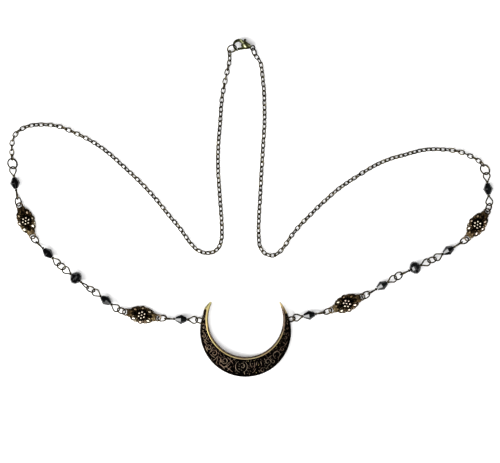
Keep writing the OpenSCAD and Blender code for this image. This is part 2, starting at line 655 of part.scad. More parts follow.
module clasp_lever() {
    color(pale_bronze) on_clasp_plane() difference() {
        union() {
            translate([0, 0, -lever_t / 2]) {
                cylinder(r = hub_r, h = lever_t, $fn = 48);
                intersection() {
                    cylinder(r = gate_r, h = lever_t, $fn = 96);
                    gate_bar();
                }
                translate([stem_x[0], 0, 0]) cube([stem_x[1] - stem_x[0], knob_at[1], lever_t]);
            }
            translate(knob_at) sphere(d = knob_d, $fn = 32);
        }
        translate([0, 0, -lever_t]) cylinder(d = rivet_d + 2 * rivet_gap, h = 2 * lever_t, $fn = 32);
    }
}

// The straight bar of the gate, a little past its end
module gate_bar() {
    run = gate_end - gate_root;
    translate(gate_root) rotate([0, 0, atan2(run[1], run[0])])
        translate([0, -gate_w / 2, 0]) cube([norm(run) + 1, gate_w, lever_t]);
}

crescent();
for (s = [0, 1]) {
    for (k = [1:FLOWERS]) union() {
        i = place_of(FLOWER, k);
        lift = [0, 0, -eyelet_z];
        between(joint(s, i) + lift, joint(s, i + 1) + lift) flower();
    }
    for (k = [1:BEADS]) union() {
        i = place_of(PIN, k);
        between(joint(s, i), joint(s, i + 1)) pin(k, EYE_NEAR[s][k - 1], EYE_FAR[s][k - 1]);
    }
    for (k = [1:BEADS]) union() {
        i = place_of(PIN, k);
        between(joint(s, i), joint(s, i + 1)) bead(k);
    }
    for (k = [1:RINGS]) union() {
        i = place_of(RING, k);
        between(joint(s, i), joint(s, i + 1), rest_roll(s, k)) jump_ring(ring_od(k), ring_wd(k));
    }
}
chain(0);  // chain_left
chain(1);  // chain_right
end_ring(0);  // clasp_ring
end_ring(1);  // tail_ring
clasp_body();
clasp_lever();
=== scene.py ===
"""Dresses a hair chain: a cast crescent, flower connectors, black glass beads on wire pins, jump
rings, fine oval cable chain and a lobster clasp, lying flat on a white floor.

Sizes are in millimetres until a piece's mesh is finished, and MM turns them into metres.
"""

import json
import logging
import math
import random
from dataclasses import dataclass, field
from enum import Enum
from typing import Any, Iterable, Optional, Sequence

import bmesh
import bpy
import numpy as np
from mathutils import Matrix, Vector

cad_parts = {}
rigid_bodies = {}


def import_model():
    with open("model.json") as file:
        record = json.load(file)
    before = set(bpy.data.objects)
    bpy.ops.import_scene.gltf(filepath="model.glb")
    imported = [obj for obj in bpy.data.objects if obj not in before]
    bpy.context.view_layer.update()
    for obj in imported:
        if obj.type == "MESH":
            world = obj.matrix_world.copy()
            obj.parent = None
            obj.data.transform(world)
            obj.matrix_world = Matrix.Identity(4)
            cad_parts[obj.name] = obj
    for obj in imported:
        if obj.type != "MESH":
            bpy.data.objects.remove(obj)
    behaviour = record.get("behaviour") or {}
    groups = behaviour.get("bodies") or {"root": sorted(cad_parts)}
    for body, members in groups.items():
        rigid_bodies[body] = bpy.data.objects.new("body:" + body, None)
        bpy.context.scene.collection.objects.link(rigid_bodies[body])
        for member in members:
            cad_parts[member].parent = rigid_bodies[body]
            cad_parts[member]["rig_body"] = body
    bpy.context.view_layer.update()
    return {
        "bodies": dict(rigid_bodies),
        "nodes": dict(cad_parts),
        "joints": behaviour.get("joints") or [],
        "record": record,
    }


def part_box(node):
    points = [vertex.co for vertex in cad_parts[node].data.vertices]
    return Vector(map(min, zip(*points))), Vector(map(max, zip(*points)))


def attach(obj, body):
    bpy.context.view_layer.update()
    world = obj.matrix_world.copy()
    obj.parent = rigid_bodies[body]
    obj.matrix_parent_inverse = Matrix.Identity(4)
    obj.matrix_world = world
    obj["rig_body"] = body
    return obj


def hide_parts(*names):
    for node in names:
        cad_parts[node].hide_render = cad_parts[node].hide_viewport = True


MM = 0.001
LOG = logging.getLogger("hair_chain")
# The two values between which most of a noise texture lies
NOISE_LOW, NOISE_HIGH = 0.3, 0.7
# Depth of a texture's bumps at full strength, in metres
BUMP_DEPTH = 0.05 * MM


def linear(hex_colour: str) -> tuple[float, float, float, float]:
    """Turns an sRGB hex colour into linear RGBA.

    Args:
        hex_colour: the colour as #rrggbb.

    Returns:
        Red, green, blue and an alpha of 1, linear.
    """
    shares = [int(hex_colour[i : i + 2], 16) / 255 for i in (1, 3, 5)]
    red, green, blue = (c / 12.92 if c <= 0.04045 else ((c + 0.055) / 1.055) ** 2.4 for c in shares)
    return red, green, blue, 1.0


def add_node(
    tree: bpy.types.NodeTree,
    kind: str,
    settings: Optional[dict[str, Any]] = None,
    inputs: Optional[dict[Any, Any]] = None,
) -> bpy.types.Node:
    """Adds a node to a tree with its settings, values and links.

    Args:
        tree: the tree that gets the node.
        kind: the node's type.
        settings: the node's properties by name.
        inputs: a value or an output socket for each input, by name or by number.

    Returns:
        The new node.
    """
    node = tree.nodes.new(kind)
    for name, value in (settings or {}).items():
        setattr(node, name, value)
    for key, value in (inputs or {}).items():
        if isinstance(value, bpy.types.NodeSocket):
            tree.links.new(value, node.inputs[key])
        else:
            node.inputs[key].default_value = value
    return node


class Slot(Enum):
    """The record's material slots."""

    CRESCENT = "crescent_bronze"
    FLOWER = "flower_bronze"
    PIN = "pin_bronze"
    RING = "ring_bronze"
    CHAIN = "chain_bronze"
    CLASP = "clasp_bronze"
    GLASS = "black_glass"


@dataclass(frozen=True)
class Finish:
    """A surface finish: its material's name and the record's slot that it is painted from."""

    name: str
    slot: Slot

    def material(self) -> bpy.types.Material:
        """Builds the material, or finds it if it is there already.

        Returns:
            The one material of this finish.
        """
        material = bpy.data.materials.get(self.name)
        if material is None:
            material = bpy.data.materials.new(self.name)
            material.use_nodes = True
            material.node_tree.nodes.clear()
            self.paint(material.node_tree)
        return material

    def paint(self, tree: bpy.types.NodeTree) -> None:
        """Fills an empty tree with the finish's nodes."""
        raise NotImplementedError


@dataclass(frozen=True)
class AntiqueBronze(Finish):
    """Cast or drawn brass, plated, blackened in a sulphide bath and rubbed back.

    The hollows keep a matt near-black patina and the raised places show the pale metal. Each mesh
    carries a wear attribute, from 0 in a hollow to 1 on a rubbed ridge; on the crescent, the
    flowers and the clasp it also carries painted light and painted shade.
    """

    hollow: str
    worn: str
    rubbed: str
    warm: str
    cool: str
    # The wear at which each of the three tones stands
    hollow_at: float = 0.08
    worn_at: float = 0.45
    rubbed_at: float = 0.9
    hollow_roughness: float = 0.55
    rubbed_roughness: float = 0.28
    grain_roughness: float = 0.16
    # Size of the clouds in the patina, of the drifts of tint and of the fine grain, in millimetres
    cloud: float = 1.4
    drift: float = 5.0
    grain: float = 0.16
    # The two values of the drifts at which the tint is all warm and all cool
    drift_span: tuple[float, float] = (0.35, 0.65)
    # How far the clouds and each link's own tone shift the wear, and how strong the tint is
    cloud_share: float = 0.35
    tone_share: float = 0.0
    tint_share: float = 0.6
    bump: float = 0.25

    def paint(self, tree: bpy.types.NodeTree) -> None:
        """Fills an empty tree with the patina, its tints and its grain.

        Args:
            tree: the material's tree.
        """
        place = add_node(tree, "ShaderNodeTexCoord").outputs["Object"]
        cloud, drift, grain = (
            add_node(tree, "ShaderNodeTexNoise", None, {
                "Vector": place, "Scale": 1 / (size * MM), "Detail": detail}).outputs["Fac"]
            for size, detail in ((self.cloud, 4), (self.drift, 2), (self.grain, 2)))
        wear, tone = (
            add_node(tree, "ShaderNodeAttribute", {"attribute_name": name}).outputs["Fac"]
            for name in ("wear", "tone"))
        shift = add_node(tree, "ShaderNodeMapRange", None, {
            "Value": cloud, "From Min": NOISE_LOW, "From Max": NOISE_HIGH,
            "To Min": -self.cloud_share, "To Max": self.cloud_share})
        clouded = add_node(tree, "ShaderNodeMath", {"operation": "ADD"}, {
            0: wear, 1: shift.outputs["Result"]})
        rub = add_node(tree, "ShaderNodeMath", {"operation": "MULTIPLY_ADD", "use_clamp": True}, {
            0: tone, 1: self.tone_share, 2: clouded.outputs[0]}).outputs[0]
        ramp = add_node(tree, "ShaderNodeValToRGB", None, {"Fac": rub})
        stops = ramp.color_ramp.elements
        stops[0].position, stops[0].color = self.hollow_at, linear(self.hollow)
        stops[1].position, stops[1].color = self.rubbed_at, linear(self.rubbed)
        stops.new(self.worn_at).color = linear(self.worn)
        all_warm, all_cool = self.drift_span
        tinting = add_node(tree, "ShaderNodeMapRange", None, {
            "Value": drift, "From Min": all_warm, "From Max": all_cool})
        tint = add_node(tree, "ShaderNodeMix", {"data_type": "RGBA"}, {
            0: tinting.outputs["Result"], 6: linear(self.warm), 7: linear(self.cool)})
        colour = add_node(tree, "ShaderNodeMix", {"data_type": "RGBA", "blend_type": "MULTIPLY"}, {
            0: self.tint_share, 6: ramp.outputs["Color"], 7: tint.outputs[2]})
        rough = add_node(tree, "ShaderNodeMapRange", None, {
            "Value": rub, "To Min": self.hollow_roughness, "To Max": self.rubbed_roughness})
        grained = add_node(
            tree, "ShaderNodeMath", {"operation": "MULTIPLY_ADD", "use_clamp": True}, {
                0: grain, 1: self.grain_roughness, 2: rough.outputs["Result"]})
        bumps = add_node(tree, "ShaderNodeBump", None, {
            "Strength": self.bump, "Distance": BUMP_DEPTH, "Height": grain})
        shader = add_node(tree, "ShaderNodeBsdfPrincipled", None, {
            "Base Color": colour.outputs[2],
            "Metallic": 1.0,
            "Roughness": grained.outputs[0],
            "Normal": bumps.outputs["Normal"]})
        add_node(tree, "ShaderNodeOutputMaterial", None, {"Surface": shader.outputs["BSDF"]})


@dataclass(frozen=True)
class JetGlass(Finish):
    """Pressed and fire-polished black glass.

    It mirrors the lamps in single facets, and some facets show a smoky grey-green from within. Each
    face carries the attribute smoke, from 0 for jet to 1 for grey-green.
    """

    jet: str
    smoke: str
    roughness: float = 0.06
    ior: float = 1.5
    gloss: float = 0.4
    # Size of the faint ripples left by the fire polish, in millimetres
    ripple: float = 1.2
    # Shares of the smoke and of the roughness in the ripples' low and high places
    smoke_shares: tuple[float, float] = (0.75, 1.1)
    roughness_shares: tuple[float, float] = (0.6, 1.6)
    bump: float = 0.1

    def paint(self, tree: bpy.types.NodeTree) -> None:
        """Fills an empty tree with the glass, its smoke and its ripples.

        Args:
            tree: the material's tree.
        """
        place = add_node(tree, "ShaderNodeTexCoord").outputs["Object"]
        ripple = add_node(tree, "ShaderNodeTexNoise", None, {
            "Vector": place, "Scale": 1 / (self.ripple * MM), "Detail": 1.0}).outputs["Fac"]
        smoke = add_node(tree, "ShaderNodeAttribute", {"attribute_name": "smoke"})
        uneven = add_node(tree, "ShaderNodeMapRange", None, {
            "Value": ripple, "From Min": NOISE_LOW, "From Max": NOISE_HIGH,
            "To Min": self.smoke_shares[0], "To Max": self.smoke_shares[1]})
        cloudy = add_node(tree, "ShaderNodeMath", {"operation": "MULTIPLY", "use_clamp": True}, {
            0: smoke.outputs["Fac"], 1: uneven.outputs["Result"]})
        colour = add_node(tree, "ShaderNodeMix", {"data_type": "RGBA"}, {
            0: cloudy.outputs[0], 6: linear(self.jet), 7: linear(self.smoke)})
        rough = add_node(tree, "ShaderNodeMapRange", None, {
            "Value": ripple, "To Min": self.roughness * self.roughness_shares[0],
            "To Max": self.roughness * self.roughness_shares[1]})
        bumps = add_node(tree, "ShaderNodeBump", None, {
            "Strength": self.bump, "Distance": BUMP_DEPTH, "Height": ripple})
        shader = add_node(tree, "ShaderNodeBsdfPrincipled", None, {
            "Base Color": colour.outputs[2],
            "Roughness": rough.outputs["Result"],
            "IOR": self.ior,
            "Specular IOR Level": self.gloss,
            "Normal": bumps.outputs["Normal"]})
        add_node(tree, "ShaderNodeOutputMaterial", None, {"Surface": shader.outputs["BSDF"]})


CRESCENT_BRONZE = AntiqueBronze(
    "antique_bronze_cast", Slot.CRESCENT, hollow="#070605", worn="#82766b", rubbed="#a0986c",
    warm="#f0d4c6", cool="#eef0e0", hollow_roughness=0.5, cloud_share=0.1, bump=0.3)
FLOWER_BRONZE = AntiqueBronze(
    "antique_bronze_flower", Slot.FLOWER, hollow="#0c0906", worn="#665840", rubbed="#e6e0d4",
    warm="#e6c4b4", cool="#e8e8d0", rubbed_roughness=0.2, cloud_share=0.12, drift=4.0,
    tint_share=0.4)
PIN_BRONZE = AntiqueBronze(
    "antique_brass_wire", Slot.PIN, hollow="#1c1a10", worn="#49463a", rubbed="#8d8871",
    warm="#f0d4c0", cool="#e6e8d2", cloud_share=0.3, cloud=1.8)
RING_BRONZE = AntiqueBronze(
    "antique_brass_ring_wire", Slot.RING, hollow="#17130c", worn="#40392c", rubbed="#8f8768",
    warm="#e8c4ae", cool="#e4e6cf", cloud_share=0.4, cloud=1.6)
CHAIN_BRONZE = AntiqueBronze(
    "antique_brass_chain", Slot.CHAIN, hollow="#15120b", worn="#3f3a2a", rubbed="#7d775a",
    warm="#eccdb8", cool="#e2e4d0", cloud_share=0.3, tone_share=0.35, cloud=1.2)
CLASP_BRONZE = AntiqueBronze(
    "antique_brass_clasp", Slot.CLASP, hollow="#0e0c08", worn="#5b5f43", rubbed="#c3c8ac",
    warm="#f0e8d0", cool="#e4eed8", cloud_share=0.12)
BLACK_GLASS = JetGlass("black_glass_faceted", Slot.GLASS, jet="#020203", smoke="#1d2323")


class ShapeTree:
    """A Geometry Nodes tree with named sizes that ends in real geometry with a finish."""

    def __init__(self, name: str, sizes: dict[str, Any]) -> None:
        """Starts a tree.

        Args:
            name: the tree's name.
            sizes: the default of each input, whose type gives the socket's.
        """
        self.tree = bpy.data.node_groups.new(name, "GeometryNodeTree")
        kinds = {int: "NodeSocketInt", float: "NodeSocketFloat", type(None): "NodeSocketObject"}
        face = self.tree.interface
        face.new_socket("Geometry", in_out="INPUT", socket_type="NodeSocketGeometry")
        face.new_socket("Geometry", in_out="OUTPUT", socket_type="NodeSocketGeometry")
        face.new_socket("Material", in_out="INPUT", socket_type="NodeSocketMaterial")
        for label, default in sizes.items():
            socket = face.new_socket(label, in_out="INPUT", socket_type=kinds[type(default)])
            if default is not None:
                socket.default_value = default
        self.given = self.add("NodeGroupInput").outputs

    def add(
        self,
        kind: str,
        settings: Optional[dict[str, Any]] = None,
        inputs: Optional[dict[Any, Any]] = None,
    ) -> bpy.types.Node:
        """Adds a node to this tree, as add_node does."""
        return add_node(self.tree, kind, settings, inputs)

    def wire(self, path: bpy.types.NodeSocket, caps: bool) -> bpy.types.NodeSocket:
        """Draws round wire along a path, by the inputs Wire and Sides.

        Args:
            path: the path's curve.
            caps: whether the wire's ends are closed.

        Returns:
            The wire's mesh.
        """
        radius = self.add("ShaderNodeMath", {"operation": "MULTIPLY"}, {
            0: self.given["Wire"], 1: 0.5})
        circle = self.add("GeometryNodeCurvePrimitiveCircle", None, {
            "Resolution": self.given["Sides"], "Radius": radius.outputs[0]})
        swept = self.add("GeometryNodeCurveToMesh", None, {
            "Curve": path, "Profile Curve": circle.outputs["Curve"], "Fill Caps": caps})
        return swept.outputs["Mesh"]

    def close(self, geometry: bpy.types.NodeSocket) -> "ShapeTree":
        """Ends the tree in smooth, realized geometry with its material.

        Args:
            geometry: what the tree has made.

        Returns:
            This tree.
        """
        smooth = self.add("GeometryNodeSetShadeSmooth", None, {"Geometry": geometry})
        real = self.add("GeometryNodeRealizeInstances", None, {"Geometry": smooth.outputs[0]})
        dressed = self.add("GeometryNodeSetMaterial", None, {
            "Geometry": real.outputs[0], "Material": self.given["Material"]})
        self.add("NodeGroupOutput", None, {0: dressed.outputs[0]})
        return self

    def grow(
        self, mesh: bpy.types.Mesh, finish: Optional[Finish] = None, **sizes: Any
    ) -> bpy.types.Mesh:
        """Runs the tree on a mesh.

        Args:
            mesh: the points or the path that the tree starts from.
            finish: the finish of the result, or None where it is only a part of a piece.
            sizes: a value for each input, with _ for a space in its name.

        Returns:
            The result as a plain mesh.
        """
        holder = add_object("holder", mesh)
        modifier = holder.modifiers.new("tree", "NODES")
        modifier.node_group = self.tree
        values = {label.replace("_", " "): value for label, value in sizes.items()}
        values["Material"] = finish.material() if finish else None
        for item in self.tree.interface.items_tree:
            if item.in_out == "INPUT" and item.name in values:
                modifier[item.identifier] = values[item.name]
        return plain_mesh(holder)


def link_tree() -> ShapeTree:
    """An oval link on each point, turned by the attribute turn, each with its own tone.

    Returns:
        The tree.
    """
    tree = ShapeTree("cable_links", {
        "Length": 3.24 * MM, "Width": 2.3 * MM, "Wire": 0.5 * MM, "Corner Steps": 2, "Sides": 6,
        "Seed": 3})
    run, across = (
        tree.add("ShaderNodeMath", {"operation": "SUBTRACT"}, {
            0: tree.given[size], 1: tree.given["Wire"]}).outputs[0]
        for size in ("Length", "Width"))
    frame = tree.add("GeometryNodeCurvePrimitiveQuadrilateral", None, {
        "Width": run, "Height": across})
    # A little under half the width, so that the two corners of an end don't cross
    corner = tree.add("ShaderNodeMath", {"operation": "MULTIPLY"}, {0: across, 1: 0.499})
    oval = tree.add("GeometryNodeFilletCurve", {"mode": "POLY"}, {
        "Curve": frame.outputs["Curve"], "Count": tree.given["Corner Steps"],
        "Radius": corner.outputs[0], "Limit Radius": True})
    turn = tree.add("GeometryNodeInputNamedAttribute", {"data_type": "QUATERNION"}, {
        "Name": "turn"})
    links = tree.add("GeometryNodeInstanceOnPoints", None, {
        "Points": tree.given["Geometry"], "Instance": tree.wire(oval.outputs["Curve"], False),
        "Rotation": turn.outputs["Attribute"]})
    tone = tree.add("FunctionNodeRandomValue", {"data_type": "FLOAT"}, {
        2: -0.5, 3: 0.5, "Seed": tree.given["Seed"]})
    toned = tree.add("GeometryNodeStoreNamedAttribute", {
        "data_type": "FLOAT", "domain": "INSTANCE"}, {
            "Geometry": links.outputs["Instances"], "Name": "tone", "Value": tone.outputs[1]})
    return tree.close(toned.outputs["Geometry"])


def ring_tree() -> ShapeTree:
    """One jump ring round the Z axis: an arc of wire whose two ends all but meet.

    Returns:
        The tree.
    """
    tree = ShapeTree("jump_ring", {
        "Diameter": 4.4 * MM, "Wire": 0.6 * MM, "Gap": 0.03, "Gap Turn": 0.0, "Steps": 56,
        "Sides": 12})
    inner = tree.add("ShaderNodeMath", {"operation": "SUBTRACT"}, {
        0: tree.given["Diameter"], 1: tree.given["Wire"]})
    radius = tree.add("ShaderNodeMath", {"operation": "MULTIPLY"}, {0: inner.outputs[0], 1: 0.5})
    sweep = tree.add("ShaderNodeMath", {"operation": "SUBTRACT"}, {
        0: math.tau, 1: tree.given["Gap"]})
    arc = tree.add("GeometryNodeCurveArc", {"mode": "RADIUS"}, {
        "Resolution": tree.given["Steps"], "Radius": radius.outputs[0],
        "Start Angle": tree.given["Gap Turn"], "Sweep Angle": sweep.outputs[0]})
    return tree.close(tree.wire(arc.outputs["Curve"], True))


def wire_tree() -> ShapeTree:
    """Round wire along each open path of edges.

    Returns:
        The tree.
    """
    tree = ShapeTree("bent_wire", {"Wire": 0.6 * MM, "Sides": 12})
    path = tree.add("GeometryNodeMeshToCurve", None, {"Mesh": tree.given["Geometry"]})
    return tree.close(tree.wire(path.outputs["Curve"], True))


def rosette_tree() -> ShapeTree:
    """A copy of one cast shape on each point, sized by the attribute size.

    Returns:
        The tree.
    """
    tree = ShapeTree("rosette", {"Shape": None})
    shape = tree.add("GeometryNodeObjectInfo", None, {"Object": tree.given["Shape"]})
    size = tree.add("GeometryNodeInputNamedAttribute", {"data_type": "FLOAT_VECTOR"}, {
        "Name": "size"})
    copies = tree.add("GeometryNodeInstanceOnPoints", None, {
        "Points": tree.given["Geometry"], "Instance": shape.outputs["Geometry"],
        "Scale": size.outputs["Attribute"]})
    return tree.close(copies.outputs["Instances"])


def add_object(name: str, data: Any) -> bpy.types.Object:
    """Puts a new object into the scene.

    Args:
        name: the object's name.
        data: its mesh, light or camera.

    Returns:
        The object.
    """
    thing = bpy.data.objects.new(name, data)
    bpy.context.scene.collection.objects.link(thing)
    return thing


def plain_mesh(holder: bpy.types.Object) -> bpy.types.Mesh:
    """Turns an object with live modifiers into one plain mesh and removes the object.

    Args:
        holder: the object.

    Returns:
        Its mesh with the modifiers applied.
    """
    graph = bpy.context.evaluated_depsgraph_get()
    mesh = bpy.data.meshes.new_from_object(
        holder.evaluated_get(graph), preserve_all_data_layers=True, depsgraph=graph)
    holder.modifiers.clear()
    bpy.data.objects.remove(holder)
    return mesh


def closed_off(shape: bmesh.types.BMesh) -> bpy.types.Mesh:
    """Turns an edit mesh into a mesh and frees it.

    Args:
        shape: the edit mesh.

    Returns:
        The mesh.
    """
    mesh = bpy.data.meshes.new("mesh")
    shape.to_mesh(mesh)
    shape.free()
    return mesh


def mesh_of(
    points: Any, faces: Iterable[Sequence[int]] = (), edges: Iterable[Sequence[int]] = ()
) -> bpy.types.Mesh:
    """Makes a mesh.

    Args:
        points: its points as rows.
        faces: the points of each face.
        edges: the points of each loose edge.

    Returns:
        The mesh.
    """
    mesh = bpy.data.meshes.new("mesh")
    mesh.from_pydata(np.asarray(points, float).tolist(), list(edges), list(faces))
    mesh.update()
    return mesh


def rows_of(mesh: bpy.types.Mesh, what: str) -> np.ndarray:
    """Reads a vector of each point of a mesh.

    Args:
        mesh: the mesh.
        what: co for the places or normal for the ways that the surface faces.

    Returns:
        The vectors as rows.
    """
    values = np.empty(len(mesh.vertices) * 3)
    mesh.vertices.foreach_get(what, values)
    return values.reshape(-1, 3)


def coordinates(mesh: bpy.types.Mesh) -> np.ndarray:
    """The mesh's points as rows."""
    return rows_of(mesh, "co")


def put_values(mesh: bpy.types.Mesh, name: str, values: Any, domain: str = "POINT") -> None:
    """Stores a number for each point or face of a mesh.

    Args:
        mesh: the mesh.
        name: the attribute's name.
        values: one number for each, or one for all.
        domain: POINT or FACE.
    """
    layer = mesh.attributes.get(name) or mesh.attributes.new(name, "FLOAT", domain)
    layer.data.foreach_set("value", np.full(len(layer.data), values, np.float32))


def ridges(mesh: bpy.types.Mesh, rounds: int, reach: float) -> np.ndarray:
    """How far each point stands proud of the smoothed surface: 0 in a hollow to 1 on a ridge.

    Args:
        mesh: the mesh.
        rounds: the number of smoothing rounds, which sets the width of the ridges that count.
        reach: the height that counts as a full ridge or hollow, in the mesh's own units.

    Returns:
        One number for each point.
    """
    points = coordinates(mesh)
    pairs = np.empty(len(mesh.edges) * 2, np.int32)
    mesh.edges.foreach_get("vertices", pairs)
    pairs = pairs.reshape(-1, 2)
    count = np.bincount(pairs.ravel(), minlength=len(points))[:, None]
    smooth = points.copy()
    for _ in range(rounds):
        total = np.zeros_like(smooth)
        for axis in range(3):
            total[:, axis] = (np.bincount(pairs[:, 0], smooth[pairs[:, 1], axis], len(points))
                              + np.bincount(pairs[:, 1], smooth[pairs[:, 0], axis], len(points)))
        smooth = 0.5 * smooth + 0.5 * total / np.maximum(count, 1)
    proud = ((points - smooth) * rows_of(mesh, "normal")).sum(1)
    return np.clip(0.5 + 0.5 * proud / reach, 0, 1)


def joined(meshes: Iterable[bpy.types.Mesh]) -> bpy.types.Mesh:
    """Puts several meshes together into one.

    Args:
        meshes: the meshes.

    Returns:
        One mesh of them all.
    """
    whole = bmesh.new()
    for mesh in meshes:
        whole.from_mesh(mesh)
    return closed_off(whole)


def recast(mesh: bpy.types.Mesh, voxel: float, rounds: int) -> bpy.types.Mesh:
    """Melts overlapping closed shells into one smooth skin, as a casting is.

    Args:
        mesh: the shells, in millimetres.
        voxel: the size of the skin's cells.
        rounds: the number of smoothing rounds.

    Returns:
        The skin, in millimetres.
    """
    holder = add_object("holder", mesh)
    remesh = holder.modifiers.new("skin", "REMESH")
    remesh.mode = "VOXEL"
    remesh.voxel_size = voxel
    smooth = holder.modifiers.new("smooth", "SMOOTH")
    smooth.factor = 0.5
    smooth.iterations = rounds
    return plain_mesh(holder)


def shade_smooth(mesh: bpy.types.Mesh) -> None:
    """Makes every face smooth."""
    mesh.polygons.foreach_set("use_smooth", np.ones(len(mesh.polygons), bool))


@dataclass(frozen=True)
class Seat:
    """Where a piece lies: its centre, its own axes as columns, and its half lengths along them."""

    centre: np.ndarray
    axes: np.ndarray
    half: np.ndarray

    @classmethod
    def of(cls, points: np.ndarray) -> "Seat":
        """Works out the seat of some points: X along their longest way, Z along their shortest.

        Args:
            points: the points as rows.

        Returns:
            The seat, with Z pointing up and X to the right.
        """
        _, vectors = np.linalg.eigh(np.cov((points - points.mean(0)).T))
        long, short = vectors[:, 2], vectors[:, 0]
        long = long if long[0] >= 0 else -long
        short = short if short[2] >= 0 else -short
        axes = np.column_stack([long, np.cross(short, long), short])
        local = points @ axes
        low, high = local.min(0), local.max(0)
        return cls(axes @ ((low + high) / 2), axes, (high - low) / 2)

    def place(self, local: np.ndarray) -> np.ndarray:
        """Turns points from the seat's own axes into the frame's."""
        return np.asarray(local, float) @ self.axes.T + self.centre

    def local(self, points: np.ndarray) -> np.ndarray:
        """Turns points from the frame into the seat's own axes."""
        return (points - self.centre) @ self.axes

    def matrix(self, scale: float = 1.0) -> Matrix:
        """The seat as a matrix, after a scale."""
        turn = Matrix(self.axes.tolist()).to_4x4()
        return Matrix.Translation(Vector(self.centre)) @ turn @ Matrix.Scale(scale, 4)


@dataclass
class Model:
    """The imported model: its nodes by name."""

    nodes: dict[str, bpy.types.Object]

    def points(self, node: str) -> np.ndarray:
        """The points of a node's mesh, in metres."""
        return coordinates(self.nodes[node].data)

    def names(self, start: str) -> list[str]:
        """The nodes whose names start so, in order."""
        return sorted(name for name in self.nodes if name.startswith(start))

    def dress(self, name: str, mesh: bpy.types.Mesh, finish: Finish, node: str) -> None:
        """Shows a mesh in place of a node, on the node's own body.

        Args:
            name: the new piece's name.
            mesh: its mesh, in metres and in place.
            finish: its finish.
            node: the node that it stands for.
        """
        mesh.name = name
        mesh.materials.clear()
        mesh.materials.append(finish.material())
        piece = add_object(name, mesh)
        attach(piece, self.nodes[node]["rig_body"])
        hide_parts(node)
        LOG.info("%s: %d faces for %s", name, len(mesh.polygons), node)


@dataclass(frozen=True)
class Scroll:
    """A stroke of the relief that winds round a centre, in millimetres from the outer centre."""

    at: tuple[float, float]
    size: float
    start: float
    turns: float
    # Share of the size that is left at the inner end: 1 makes a plain arc
    inner: float = 0.25


@dataclass(frozen=True)
class Leaf:
    """A stroke of the relief between two points, swelling between them, with a bow to its left."""

    start: tuple[float, float]
    end: tuple[float, float]
    bow: float = 0.0


